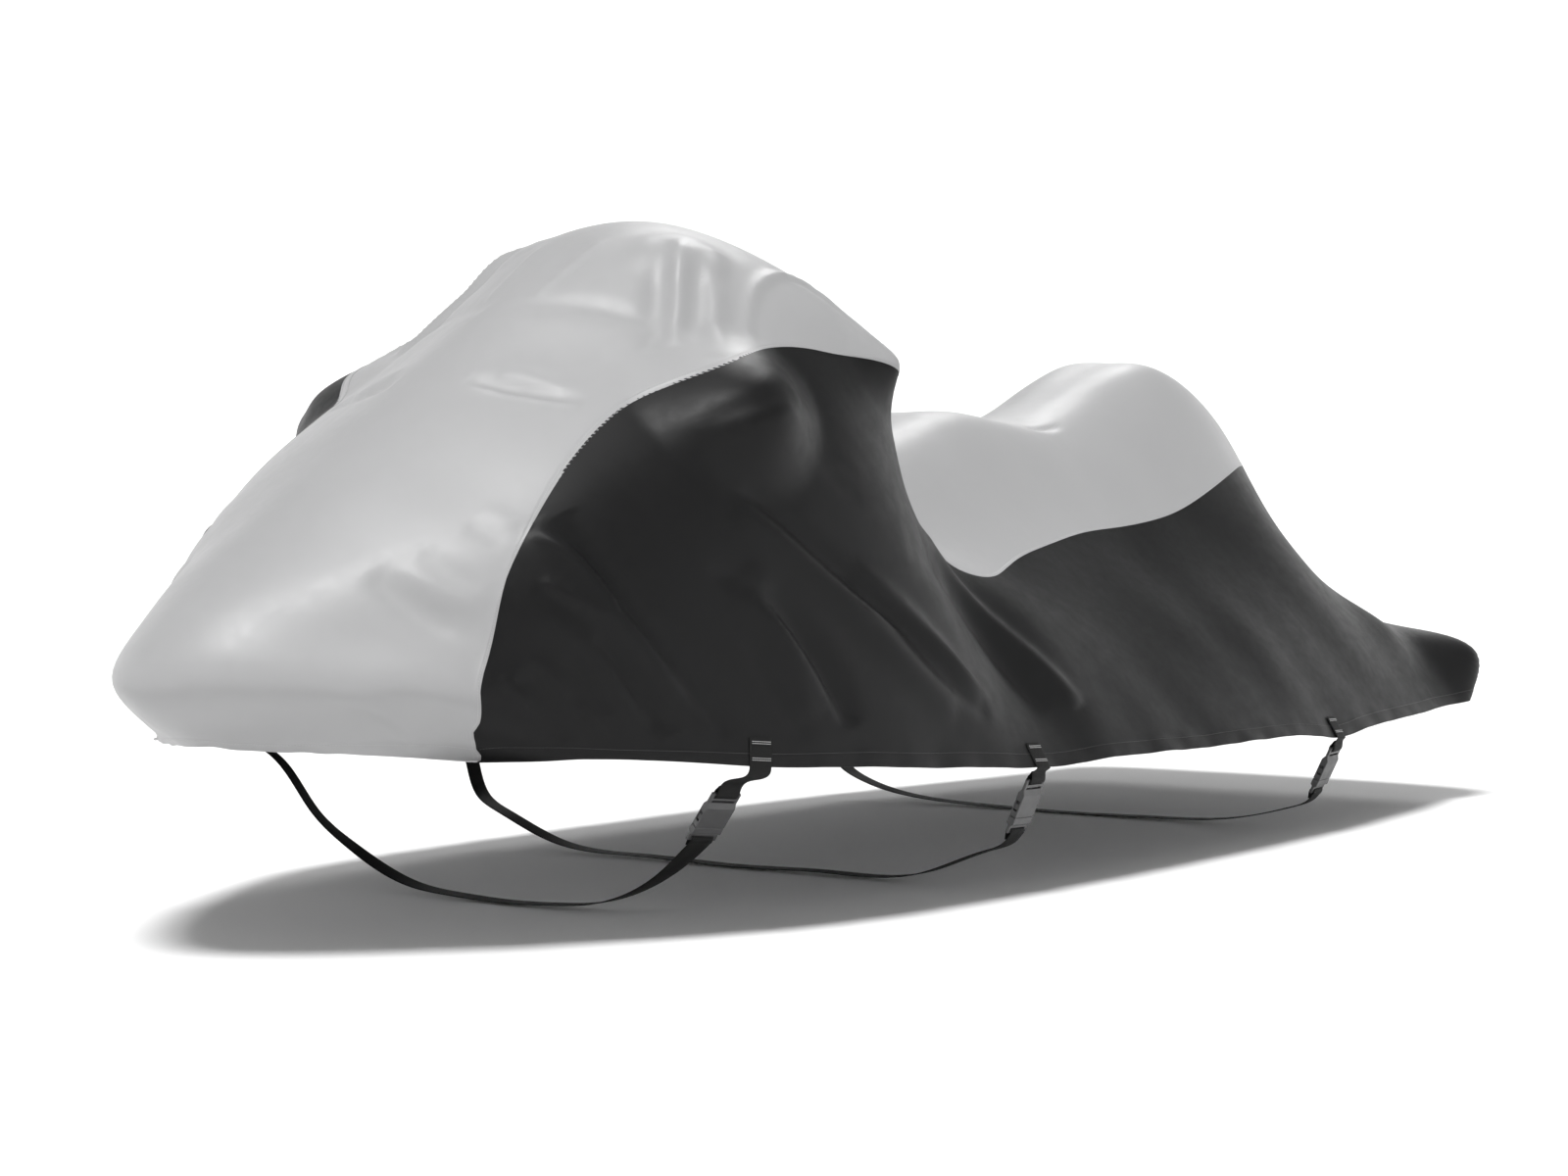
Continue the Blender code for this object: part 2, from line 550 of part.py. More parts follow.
def sewn_line(x, cloth):
    """Middle of the web's sewn end, from its top to just under the port hem, with its directions.

    It runs straight up from the hem, square to it, and lies on the flat faces of the finished
    cloth: each place is raised by the highest face that the web covers there.
    """
    u = hem_place(x)
    hem, out = draped(np.array([u]), np.array([1.0]))
    hem, out = hem[0], out[0]
    ends = surface(np.array([u - 0.004, u + 0.004]), np.ones(2))
    side = unit(ends[0] - ends[1])
    out = unit(out - (out @ side) * side)
    up = np.cross(side, out)
    ups = np.linspace(SEWN_END, 0.0, 2 * SEWN_SPANS + 1)
    heights = []
    for distance in ups:
        places = [hem + up * distance + side * across for across in SEWN_PROBES * WEB_WIDTH]
        found = [cloth_height(cloth, place, out) for place in places]
        heights.append(max([height for height in found if height is not None], default=-1.0))
    heights = np.array(heights)
    heights = np.where(heights < -0.5, heights[-3], heights)
    padded = np.concatenate([heights[:1], heights, heights[-1:]])
    highest = np.maximum(np.maximum(padded[:-2], padded[1:-1]), padded[2:])
    points = hem + up * ups[:, None] + out * (highest + SEWN_CLEAR + WEB_THICK / 2)[:, None]
    points = np.concatenate([points[::2], [points[-1] - up * BELOW_HEM]])
    return points, np.tile(side, (len(points), 1))


def buckle_frame(top, foot, hem_side):
    """Origin at the middle of a buckle's top edge; rows are its width, length and outward depth."""
    down = unit(np.array(foot) - np.array(top))
    width = unit(hem_side - (hem_side @ down) * down)
    return np.array(top), np.stack([width, down, np.cross(width, down)])


def loop_local(lead):
    """Middle of a web that comes down to a bar, rounds it and tucks in behind: (along, depth)."""
    middle = BAR / 2
    radius = BAR / 2 + 0.0014 + WEB_THICK / 2
    turn = np.radians(np.linspace(90, -90, 9))
    bend = np.stack([middle + radius * np.cos(turn), radius * np.sin(turn)], axis=1)
    ease = np.array([[middle - 0.0045, radius * 0.93], [middle - 0.009, radius * 0.60]])
    front = np.array([[-lead, LAP / 2]])
    back = np.array([[-TUCK, LAP / 2]])
    return np.concatenate([front, ease[::-1], bend, ease * (1, -1), back * (1, -1)])


def to_world(local, origin, frame, foot=False):
    """Place (along, depth) pairs in a buckle's frame, measured from its top or from its foot."""
    along = BUCKLE_LENGTH - local[:, :1] if foot else local[:, :1]
    return origin + along * frame[1] + local[:, 1:] * frame[2]


def smooth(points, sides, spans):
    """A smooth run through a few points, with its width directions, evenly spaced."""
    length = running_length(points)
    at = np.linspace(0, length[-1], spans + 1)
    return spline(length, points, at), spline(length, sides, at)


def strap_paths(strap, cloth):
    """Middles and width directions of a strap's upper web and of its long web."""
    name, x, _, *places = strap
    chine_x, chine_y, chine_z, keel_x, keel_z = UNDERSIDES[name]
    sewn, sewn_sides = sewn_line(x, cloth)
    origin, frame = buckle_frame(places[:3], places[3:6], sewn_sides[-1])
    loop = loop_local(TUCK)
    near = to_world(loop, origin, frame)
    start = np.concatenate([sewn[-2:], near[:2]])
    start_sides = np.concatenate([sewn_sides[-2:], [frame[0], frame[0]]])
    drop, drop_sides = smooth(start, start_sides, 8)
    upper = np.concatenate([sewn[:-2], drop, near[2:]])
    upper_sides = np.concatenate([sewn_sides[:-2], drop_sides, np.tile(frame[0], (len(near) - 2, 1))])

    far = to_world(loop, origin, frame, foot=True)[::-1]
    mirror = np.array([1, -1, 1])
    across = np.array([1.0, 0.0, 0.0])
    port = [far[-2], far[-1]]
    chine = np.array([chine_x, chine_y, chine_z])
    keel = np.array([keel_x, 0.0, keel_z])
    under = [np.array(places[6:]), chine, (chine + keel) / 2 - (0, 0, (chine_z - keel_z) / 4), keel]
    top = to_world(np.array([[-0.004, LAP / 2]]), origin, frame)[0]
    run = port + under
    back = [p * mirror for p in run[-2:1:-1]] + [far[-2] * mirror, top * mirror]
    points = np.array(run + back + [sewn[-1] * mirror])
    lean = frame[0]
    sides = [lean, lean, unit(lean + across), across, across, across, across, across,
             unit(lean * mirror + across), lean * mirror, lean * mirror]
    sides = np.array(sides + [sewn_sides[-1] * mirror])
    long_run, long_sides = smooth(points, sides, 48)
    long_web = np.concatenate([far[:-2], long_run, sewn[-2::-1] * mirror])
    long_web_sides = np.concatenate([np.tile(lean, (len(far) - 2, 1)), long_sides,
                                     sewn_sides[-2::-1] * mirror])
    return (upper, upper_sides), (long_web, long_web_sides), (origin, frame)


def ribbon_mesh(name, middles, sides):
    """A flat web of even width and thickness along a path."""
    run = np.gradient(middles, axis=0)
    run /= np.linalg.norm(run, axis=1, keepdims=True)
    sides = sides - (sides * run).sum(axis=1, keepdims=True) * run
    sides /= np.linalg.norm(sides, axis=1, keepdims=True)
    out = np.cross(sides, run)
    w, t = sides * WEB_WIDTH / 2, out * WEB_THICK / 2
    points = np.stack([middles - w - t, middles + w - t, middles + w + t, middles - w + t], axis=1)
    faces = [(0, 1, 2, 3)]
    for k in range(len(middles) - 1):
        a, b = 4 * k, 4 * k + 4
        for i, j in ((0, 1), (1, 2), (2, 3), (3, 0)):
            faces.append((a + i, b + i, b + j, a + j))
    last = 4 * (len(middles) - 1)
    faces.append((last + 3, last + 2, last + 1, last))
    return mesh_from(name, points.reshape(-1, 3), faces)


# ---- straps: buckles ----
def extruded(name, outline, low, high, plane):
    """A prism: an outline of pairs, drawn in two of a buckle's axes and pushed along the third."""
    first, second, third = plane
    points = np.zeros((2 * len(outline), 3))
    flat = np.array(outline, float)
    for layer, level in enumerate((low, high)):
        rows = slice(layer * len(flat), (layer + 1) * len(flat))
        points[rows, first], points[rows, second], points[rows, third] = flat[:, 0], flat[:, 1], level
    count = len(flat)
    faces = [tuple(range(count)), tuple(reversed(range(count, 2 * count)))]
    faces += [(i, i + count, (i + 1) % count + count, (i + 1) % count) for i in range(count)]
    mesh = mesh_from(name, points, faces)
    shell = bmesh.new()
    shell.from_mesh(mesh)
    bmesh.ops.recalc_face_normals(shell, faces=shell.faces)
    shell.to_mesh(mesh)
    shell.free()
    return mesh


def block(name, low, high):
    """A rectangular block between two corners."""
    outline = ((low[0], low[1]), (high[0], low[1]), (high[0], high[1]), (low[0], high[1]))
    return extruded(name, outline, low[2], high[2], (0, 1, 2))


def modified(thing, kind, name, **settings):
    """Add a modifier with its settings."""
    modifier = thing.modifiers.new(name, kind)
    for key, value in settings.items():
        setattr(modifier, key, value)
    return modifier


def join_or_cut(thing, mesh, operation, hidden):
    """Add a Boolean with a helper solid, which stays hidden."""
    helper = bpy.data.objects.new(mesh.name, mesh)
    hidden.objects.link(helper)
    helper.parent = thing
    helper.hide_render = True
    helper.display_type = "WIRE"
    modified(thing, "BOOLEAN", mesh.name, operation=operation, object=helper, solver="EXACT")


def ladder_slots():
    """Where a ladder's two openings start and end, counted from its outer edge."""
    first = BAR
    second = BAR + SLOT + BAR * 0.8
    return (first, first + SLOT), (second, second + SLOT)


def add_socket(name, collection, hidden, material, parent):
    """The upper half of a buckle: a ladder with two slots and a hollow body with side windows."""
    ladder_end = ladder_slots()[1][1] + 0.001
    low, high = LADDER_DEPTH / 2, BODY_DEPTH / 2
    profile = ((0, -low), (ladder_end, -low), (ladder_end + RAMP, -high), (SOCKET_LENGTH, -high),
               (SOCKET_LENGTH, high), (ladder_end + RAMP, high), (ladder_end, low), (0, low))
    half = BUCKLE_WIDTH / 2
    socket = add_object(name, extruded(name, profile, -half, half, (1, 2, 0)), collection, material, parent)
    modified(socket, "BEVEL", "rounded edges", width=EDGE, segments=1, limit_method="ANGLE")
    inner = half - SIDE_RAIL
    for number, (start, end) in enumerate(ladder_slots()):
        slot = block(f"{name}_slot_{number}", (-inner, start, -high), (inner, end, high))
        join_or_cut(socket, slot, "DIFFERENCE", hidden)
    cavity = block(f"{name}_cavity", (-CAVITY_WIDTH / 2, CAVITY_START, -CAVITY_HEIGHT / 2),
                   (CAVITY_WIDTH / 2, SOCKET_LENGTH + 0.01, CAVITY_HEIGHT / 2))
    join_or_cut(socket, cavity, "DIFFERENCE", hidden)
    window = block(f"{name}_windows", (-half - 0.01, WINDOW[0], -CAVITY_HEIGHT / 2 + 0.0003),
                   (half + 0.01, WINDOW[1], CAVITY_HEIGHT / 2 - 0.0003))
    join_or_cut(socket, window, "DIFFERENCE", hidden)
    return socket


def add_plug(name, collection, hidden, material, parent):
    """The lower half of a buckle: a collar and ladder, two sprung arms and a tongue."""
    half = BUCKLE_WIDTH / 2
    start = SOCKET_LENGTH + FIT
    low, high = LADDER_DEPTH / 2, BODY_DEPTH / 2
    collar = BUCKLE_LENGTH - ladder_slots()[0][1] - 0.004
    profile = ((start, -high), (collar - 0.003, -high), (collar, -low), (BUCKLE_LENGTH, -low),
               (BUCKLE_LENGTH, low), (collar, low), (collar - 0.003, high), (start, high))
    plug = add_object(name, extruded(name, profile, -half, half, (1, 2, 0)), collection, material, parent)
    modified(plug, "BEVEL", "rounded edges", width=EDGE, segments=1, limit_method="ANGLE")
    inner = half - SIDE_RAIL
    first, last = ladder_slots()[0]
    slot = block(f"{name}_slot", (-inner, BUCKLE_LENGTH - last, -high), (inner, BUCKLE_LENGTH - first, high))
    join_or_cut(plug, slot, "DIFFERENCE", hidden)
    out = CAVITY_WIDTH / 2 - FIT
    bulge = half - 0.0015
    tip = CAVITY_START + 0.003
    fork = ((out - ARM, start + 0.002), (out, start + 0.002), (out, WINDOW[1] - FIT), (bulge, WINDOW[1] - 0.003),
            (bulge, WINDOW[0] + 0.006), (out, WINDOW[0] + 0.001), (out - 0.001, tip), (out - ARM, tip))
    thick = CAVITY_HEIGHT / 2 - FIT
    for side in (1, -1):
        arm = extruded(f"{name}_arm_{side + 1}", [(x * side, y) for x, y in fork], -thick, thick, (0, 1, 2))
        join_or_cut(plug, arm, "UNION", hidden)
    tongue = block(f"{name}_tongue", (-0.004, tip + 0.006, -thick), (0.004, start + 0.002, thick))
    join_or_cut(plug, tongue, "UNION", hidden)
    return plug


def add_straps(collection, hidden, datum, cloth):
    """The three belly straps."""
    for strap in STRAPS:
        name = strap[0]
        upper, long_web, (origin, frame) = strap_paths(strap, cloth)
        add_object(f"web_upper_{name}", ribbon_mesh(f"web_upper_{name}", *upper), collection,
                   "black_webbing", datum)
        add_object(f"web_long_{name}", ribbon_mesh(f"web_long_{name}", *long_web), collection,
                   "black_webbing", datum)
        place = Matrix.Translation(Vector(origin)) @ Matrix(frame.T.tolist()).to_4x4()
        for build, part in ((add_socket, "buckle_socket"), (add_plug, "buckle_plug")):
            thing = build(f"{part}_{name}", collection, hidden, "grey_plastic", datum)
            thing.matrix_local = place


# ---- main ----
def main():
    for thing in list(bpy.data.objects):
        bpy.data.objects.remove(thing, do_unlink=True)
    collection = bpy.data.collections.new(COLLECTION)
    bpy.context.scene.collection.children.link(collection)
    datum = bpy.data.objects.new("craft_datum", None)
    datum.location = tuple(-value for value in MOUNT)
    collection.objects.link(datum)
    hidden = bpy.data.collections.new("cutters")
    bpy.context.scene.collection.children.link(hidden)
    hidden.hide_render = True
    cloth = add_panels(collection, datum)
    add_straps(collection, hidden, datum, cloth)


main()
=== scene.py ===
"""Fitted cloth cover for a personal watercraft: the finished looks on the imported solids.

Everything is worked out in the craft datum (X to the bow, Y to port, Z up, nought amidships at the
hem's level) and moved to the part's own origin when a mesh is made.
"""
import math

import bpy
import numpy as np
from bpy.props import FloatProperty, FloatVectorProperty, IntProperty, PointerProperty
from mathutils import Matrix, Vector
from mathutils.bvhtree import BVHTree


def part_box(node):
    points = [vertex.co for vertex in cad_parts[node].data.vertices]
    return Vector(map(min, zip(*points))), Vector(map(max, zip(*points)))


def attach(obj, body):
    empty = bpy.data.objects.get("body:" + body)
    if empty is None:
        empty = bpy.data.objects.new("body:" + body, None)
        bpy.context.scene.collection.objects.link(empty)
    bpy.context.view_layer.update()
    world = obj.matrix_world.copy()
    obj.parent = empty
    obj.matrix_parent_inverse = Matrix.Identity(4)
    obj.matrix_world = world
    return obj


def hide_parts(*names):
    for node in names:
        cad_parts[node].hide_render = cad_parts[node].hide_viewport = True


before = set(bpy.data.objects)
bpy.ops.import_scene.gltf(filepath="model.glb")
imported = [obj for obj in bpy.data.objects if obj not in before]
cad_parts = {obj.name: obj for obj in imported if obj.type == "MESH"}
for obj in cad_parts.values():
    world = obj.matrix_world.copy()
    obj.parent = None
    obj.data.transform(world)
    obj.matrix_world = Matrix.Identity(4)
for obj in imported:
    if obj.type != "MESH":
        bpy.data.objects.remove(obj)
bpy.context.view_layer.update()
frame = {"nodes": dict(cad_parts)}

bl_info = {
    "name": "Watercraft cover",
    "version": (1, 0, 0),
    "blender": (4, 5, 0),
    "location": "View3D > Sidebar > Cover",
    "description": "Dresses the cover's solids with draped cloth, woven webs, buckles and stitching",
    "category": "Object",
}

DATUM = np.array([0.500, 0.0, 0.869])   # the part's origin in the craft datum
MIRROR = np.array([1.0, -1.0, 1.0])     # port to starboard

HEM_DEPTH = 0.028          # height of the turned-up hem

# ---- sizes of the straps, the same as their solids' ----
WEB_WIDTH = 0.038
WEB_THICK = 0.002
SEWN_END = 0.042           # length of web that is stitched to the cloth above the hem
SEWN_SPANS = 8             # straight stretches of that web
SEWN_PROBES = np.linspace(-0.53, 0.53, 7)   # shares of its width at which the cloth is felt for
FEEL = 0.03                # how far out of the cloth, and into it, that reaches
TACKS = np.array([0.006, 0.009, 0.030, 0.033])   # its bar tacks, from the end of the web
TACK_SPAN = np.linspace(-0.46, 0.46, 9)      # shares of the width that a bar tack runs through
TACK_THREAD = (0.0030, 0.0003, 0.0006)      # their pitch, gap and radius
BELOW_HEM = 0.0015         # how far it runs straight on past the hem
SEWN_CLEAR = 0.0004        # between that web and the cloth
TUCK = 0.013               # length of web folded back behind itself after it rounds a buckle's bar
LAP = 0.0024               # between the middles of two thicknesses of web that lie together
BUCKLE_LENGTH = 0.095
BAR = 0.005                # bars that the web rounds, along the buckle
BAR_GAP = 0.0014           # between a bar and the web round it
ABOVE_BUCKLE = 0.004       # to starboard the long web passes this far over a mirrored buckle
HEM_SHARE = 0.004          # u either side of a strap that gives the hem's direction there
DROP_SPANS = 20            # straight stretches of a web between the hem and its buckle
LONG_SPANS = 240           # and from the buckle under the hull to the other hem

# ---- the ribs: curves across the cover, from the bow hem back to the stern hem ----
# Each starts on the centreline (crown) and runs out and down to the port hem; the starboard half
# mirrors it.  wrap tells how late the rib leaves its crown's station for its hem's station.
RIBS = (
    # name          crown x,  z     brow y,  z      flank y,  z     skirt y,  z     hem x,   y,     z     wrap
    ("bow hem",      1.500, 0.090,  0.085, 0.086,  0.170, 0.080,  0.250, 0.075,  1.278, 0.322,  0.070, 1.1),
    ("lip under",    1.560, 0.125,  0.090, 0.123,  0.180, 0.118,  0.275, 0.107,  1.190, 0.380,  0.068, 1.5),
    ("lip",          1.590, 0.177,  0.100, 0.175,  0.205, 0.168,  0.330, 0.146,  1.100, 0.435,  0.065, 1.9),
    ("lip top",      1.545, 0.252,  0.110, 0.248,  0.225, 0.234,  0.365, 0.193,  1.010, 0.480,  0.060, 1.8),
    ("toe",          1.440, 0.335,  0.130, 0.330,  0.270, 0.314,  0.415, 0.242,  0.920, 0.520,  0.053, 1.7),
    ("hood low",     1.300, 0.432,  0.150, 0.427,  0.323, 0.393,  0.450, 0.272,  0.810, 0.555,  0.043, 1.6),
    ("hood mid",     1.130, 0.545,  0.170, 0.536,  0.365, 0.480,  0.482, 0.302,  0.700, 0.577,  0.034, 1.5),
    ("hood high",    0.950, 0.660,  0.176, 0.638,  0.387, 0.550,  0.502, 0.322,  0.580, 0.592,  0.024, 1.4),
    ("mirror",       0.780, 0.778,  0.178, 0.752,  0.390, 0.607,  0.507, 0.330,  0.460, 0.600,  0.017, 1.3),
    ("screen",       0.620, 0.856,  0.172, 0.828,  0.370, 0.657,  0.480, 0.350,  0.340, 0.606,  0.010, 1.2),
    ("bars",         0.440, 0.855,  0.165, 0.798,  0.330, 0.658,  0.378, 0.415,  0.240, 0.609,  0.005, 1.0),
    ("bars back",    0.300, 0.685,  0.142, 0.638,  0.238, 0.490,  0.372, 0.322,  0.150, 0.611,  0.003, 1.0),
    ("saddle",       0.140, 0.535,  0.140, 0.508,  0.272, 0.366,  0.435, 0.245,  0.050, 0.612,  0.003, 1.0),
    ("seat front",  -0.080, 0.540,  0.138, 0.516,  0.272, 0.368,  0.446, 0.210, -0.120, 0.612,  0.001, 1.0),
    ("driver seat", -0.300, 0.577,  0.138, 0.547,  0.263, 0.370,  0.440, 0.200, -0.320, 0.610, -0.001, 1.0),
    ("seat dip",    -0.520, 0.560,  0.138, 0.532,  0.260, 0.370,  0.440, 0.200, -0.540, 0.603, -0.002, 1.0),
    ("seat rise",   -0.720, 0.614,  0.130, 0.575,  0.260, 0.380,  0.440, 0.200, -0.740, 0.592, -0.003, 1.0),
    ("rear seat",   -0.930, 0.682,  0.133, 0.642,  0.266, 0.400,  0.430, 0.200, -0.930, 0.575, -0.009, 1.0),
    ("seat back",   -1.115, 0.653,  0.133, 0.608,  0.260, 0.398,  0.425, 0.192, -1.110, 0.555, -0.009, 1.0),
    ("back slope",  -1.275, 0.525,  0.133, 0.477,  0.256, 0.315,  0.413, 0.170, -1.260, 0.535, -0.008, 1.0),
    ("deck front",  -1.390, 0.290,  0.150, 0.271,  0.283, 0.220,  0.412, 0.156, -1.390, 0.517, -0.004, 1.0),
    ("deck",        -1.550, 0.198,  0.150, 0.190,  0.300, 0.160,  0.430, 0.117, -1.510, 0.506, -0.001, 3.0),
    ("stern edge",  -1.700, 0.146,  0.160, 0.140,  0.318, 0.121,  0.470, 0.090, -1.590, 0.496,  0.003, 4.0),
    ("transom",     -1.712, 0.090,  0.155, 0.086,  0.292, 0.072,  0.404, 0.052, -1.615, 0.458,  0.007, 4.0),
    ("stern hem",   -1.640, 0.033,  0.120, 0.030,  0.240, 0.022,  0.350, 0.013, -1.620, 0.428,  0.006, 4.0),
)
ACROSS = np.array([0.0, 0.25, 0.5, 0.75, 1.0])   # where the five places lie along a rib

# ---- what stands under the cloth and lifts it; each is on both sides ----
BUMPS = (
    # name            centre x,  y,     z      radius  push x,  y,     z      pointed
    ("mirror",         0.780,   0.405, 0.590,  0.180,  0.020,  0.085,  0.010,  False),
    ("grip",           0.345,   0.360, 0.650,  0.120,  0.006,  0.065,  0.000,  True),
    ("screen corner",  0.640,   0.180, 0.820,  0.100,  0.000,  0.010,  0.012,  False),
)

# ---- the seam between the silver panel and the port panel, on the surface ----
SEAM = (
    # place              u      v
    ("foot",             0.000, 1.000),
    ("above foot",       0.013, 0.876),
    ("low front",        0.029, 0.802),
    ("front",            0.045, 0.746),
    ("front middle",     0.063, 0.694),
    ("front high",       0.097, 0.592),
    ("bend low",         0.130, 0.498),
    ("bend",             0.166, 0.423),
    ("bend high",        0.212, 0.382),
    ("under mirror",     0.246, 0.403),
    ("mirror",           0.285, 0.446),
    ("behind mirror",    0.320, 0.502),
    ("grip",             0.355, 0.548),
    ("down from grip",   0.390, 0.640),
    ("foot well",        0.428, 0.712),
    ("well side",        0.456, 0.668),
    ("seat side front",  0.490, 0.608),
    ("driver side",      0.540, 0.557),
    ("seat side mid",    0.600, 0.512),
    ("seat side rear",   0.670, 0.500),
    ("rear seat side",   0.735, 0.470),
    ("seat corner",      0.795, 0.395),
    ("seat back corner", 0.828, 0.270),
    ("seat back",        0.841, 0.130),
    ("centre",           0.844, 0.000),
)
SEAM_BEND = 0.165          # where along the seam the side panels turn their first corner
SEAM_CORNER = 0.880        # where along it the silver panel has its back corners

# ---- the main folds, each a soft ridge or trough along a curve on the surface; on both sides ----
FOLDS = (
    # name                     start u, v       middle u, v      end u, v       half width, height
    ("front long trough",      0.148, 0.504,    0.121, 0.742,    0.106, 0.955,    0.022,  -0.011),
    ("front long ridge",       0.136, 0.491,    0.124, 0.640,    0.100, 0.880,    0.024,   0.009),
    ("front low trough",       0.098, 0.749,    0.083, 0.871,    0.075, 0.940,    0.022,  -0.008),
    ("front short trough",     0.060, 0.749,    0.048, 0.833,    0.037, 0.920,    0.020,  -0.007),
    ("side broad ridge",       0.181, 0.726,    0.179, 0.826,    0.168, 0.931,    0.032,   0.010),
    ("side trough",            0.191, 0.753,    0.198, 0.867,    0.192, 0.945,    0.024,  -0.010),
    ("side long ridge",        0.202, 0.635,    0.236, 0.793,    0.288, 0.931,    0.032,   0.012),
    ("side long trough",       0.212, 0.611,    0.250, 0.773,    0.318, 0.940,    0.020,  -0.012),
    ("side second ridge",      0.254, 0.758,    0.289, 0.833,    0.316, 0.924,    0.022,   0.009),
    ("well ridge",             0.340, 0.769,    0.422, 0.842,    0.452, 0.927,    0.026,   0.012),
    ("well trough",            0.307, 0.737,    0.384, 0.884,    0.414, 0.938,    0.034,  -0.008),
    ("mirror valley",          0.219, 0.484,    0.245, 0.491,    0.263, 0.515,    0.022,  -0.012),
    ("hood crease",            0.212, 0.108,    0.209, 0.228,    0.208, 0.339,    0.018,  -0.007),
    ("hood low trough",        0.102, 0.346,    0.080, 0.533,    0.075, 0.640,    0.024,  -0.006),
    ("screen fold",            0.315, 0.277,    0.286, 0.359,    0.255, 0.405,    0.020,   0.007),
    ("screen second fold",     0.305, 0.239,    0.280, 0.306,    0.255, 0.359,    0.020,   0.007),
)
FOLD_STEPS = 12            # straight stretches that each fold's curve is measured along

# ---- the belly straps, port half; the buckle's foot only gives its direction ----
STRAPS = (
    # name    hem x, pull     buckle top x, y, z      buckle foot x, y, z     bilge x, y, z
    ("fore",  0.900, 0.006,   0.880, 0.452,  0.001,   0.862, 0.375, -0.092,   0.857, 0.325, -0.126),
    ("mid",   0.265, 0.004,   0.265, 0.599, -0.016,   0.265, 0.562, -0.098,   0.265, 0.513, -0.135),
    ("aft",  -0.825, 0.016,  -0.825, 0.577, -0.040,  -0.825, 0.540, -0.116,  -0.825, 0.495, -0.155),
)
UNDERSIDES = {
    # name    chine x, y, z           keel x, z
    "fore":  (0.852, 0.190, -0.182,   0.850, -0.195),
    "mid":   (0.265, 0.380, -0.182,   0.265, -0.196),
    "aft":  (-0.825, 0.360, -0.186,  -0.825, -0.198),
}
PULL_REACH = 0.130         # how far along the hem a strap draws it down

# ---- the draped surface ----
def spline(knots, values, at):
    """Natural cubic spline through values at the knots, read at the given places."""
    knots = np.asarray(knots, float)
    values = np.asarray(values, float)
    count = len(knots)
    flat = values.reshape(count, -1)
    span = np.diff(knots)
    slope = np.diff(flat, axis=0) / span[:, None]
    inner = np.arange(1, count - 1)
    system = np.eye(count)
    system[inner, inner - 1] = span[:-1]
    system[inner, inner] = 2 * (span[:-1] + span[1:])
    system[inner, inner + 1] = span[1:]
    right = np.zeros_like(flat)
    right[1:-1] = 6 * np.diff(slope, axis=0)
    bend = np.linalg.solve(system, right)
    at = np.asarray(at, float)
    where = at.ravel()
    k = np.clip(np.searchsorted(knots, where, side="right") - 1, 0, count - 2)
    step = (where - knots[k])[:, None]
    width = span[k][:, None]
    cubic = (bend[k + 1] - bend[k]) / (6 * width)
    linear = slope[k] - width * (2 * bend[k] + bend[k + 1]) / 6
    out = flat[k] + step * (linear + step * (bend[k] / 2 + step * cubic))
    return out.reshape(at.shape + values.shape[1:])


def rib_points():
    """Nine points for each rib, from the starboard hem over the crown to the port hem."""
    rows = []
    for _, crown_x, crown_z, *between, hem_x, hem_y, hem_z, wrap in RIBS:
        x = crown_x + (hem_x - crown_x) * ACROSS ** wrap
        y = np.array([0.0, *between[::2], hem_y])
        z = np.array([crown_z, *between[1::2], hem_z])
        port = np.stack([x, y, z], axis=-1)
        rows.append(np.concatenate([port[:0:-1] * (1, -1, 1), port]))
    return np.array(rows)


def running_length(points):
    """Length along a row of points, starting from nought."""
    return np.concatenate([[0.0], np.cumsum(np.linalg.norm(np.diff(points, axis=0), axis=1))])


RIB_POINTS = rib_points()
RIB_STEPS = np.linalg.norm(np.diff(RIB_POINTS[:, len(ACROSS) - 1:], axis=0), axis=-1).mean(axis=1)
RIB_PLACES = np.concatenate([[0.0], np.cumsum(RIB_STEPS)]) / RIB_STEPS.sum()
RIB_ACROSS = np.concatenate([-ACROSS[:0:-1], ACROSS])


def lofted(u, v):
    """The surface through the ribs: u from the bow hem to the stern hem, v from -1 to 1 across."""
    u, v = np.broadcast_arrays(np.asarray(u, float), np.asarray(v, float))
    along = spline(RIB_PLACES, RIB_POINTS, u.ravel())
    across = spline(RIB_ACROSS, np.eye(len(RIB_ACROSS)), v.ravel())
    return np.einsum("nk,nkc->nc", across, along).reshape(u.shape + (3,))


def surface(u, v):
    """The lofted surface, pushed out by the bumps and drawn down at the hem by the straps."""
    points = lofted(u, v)
    near_hem = np.clip(np.abs(np.broadcast_to(v, points.shape[:-1])) * 4 - 3, 0, 1) ** 2
    for _, strap_x, pull, *_ in STRAPS:
        reach = np.exp(-((points[..., 0] - strap_x) / PULL_REACH) ** 2)
        points[..., 2] -= pull * reach * near_hem
    for _, x, y, z, radius, push_x, push_y, push_z, pointed in BUMPS:
        for side in (1, -1):
            distance = np.linalg.norm(points - np.array([x, y * side, z]), axis=-1) / radius
            inside = np.clip(1 - distance if pointed else 1 - distance ** 2, 0, 1)
            points = points + (inside ** 2)[..., None] * np.array([push_x, push_y * side, push_z])
    return points


def normals(u, v, reach=1e-3):
    """Unit vectors out of the cloth."""
    u, v = np.broadcast_arrays(np.asarray(u, float), np.asarray(v, float))
    along = surface(u + reach, v) - surface(u - reach, v)
    across = surface(u, v + reach) - surface(u, v - reach)
    out = np.cross(across, along)
    return out / np.linalg.norm(out, axis=-1, keepdims=True)


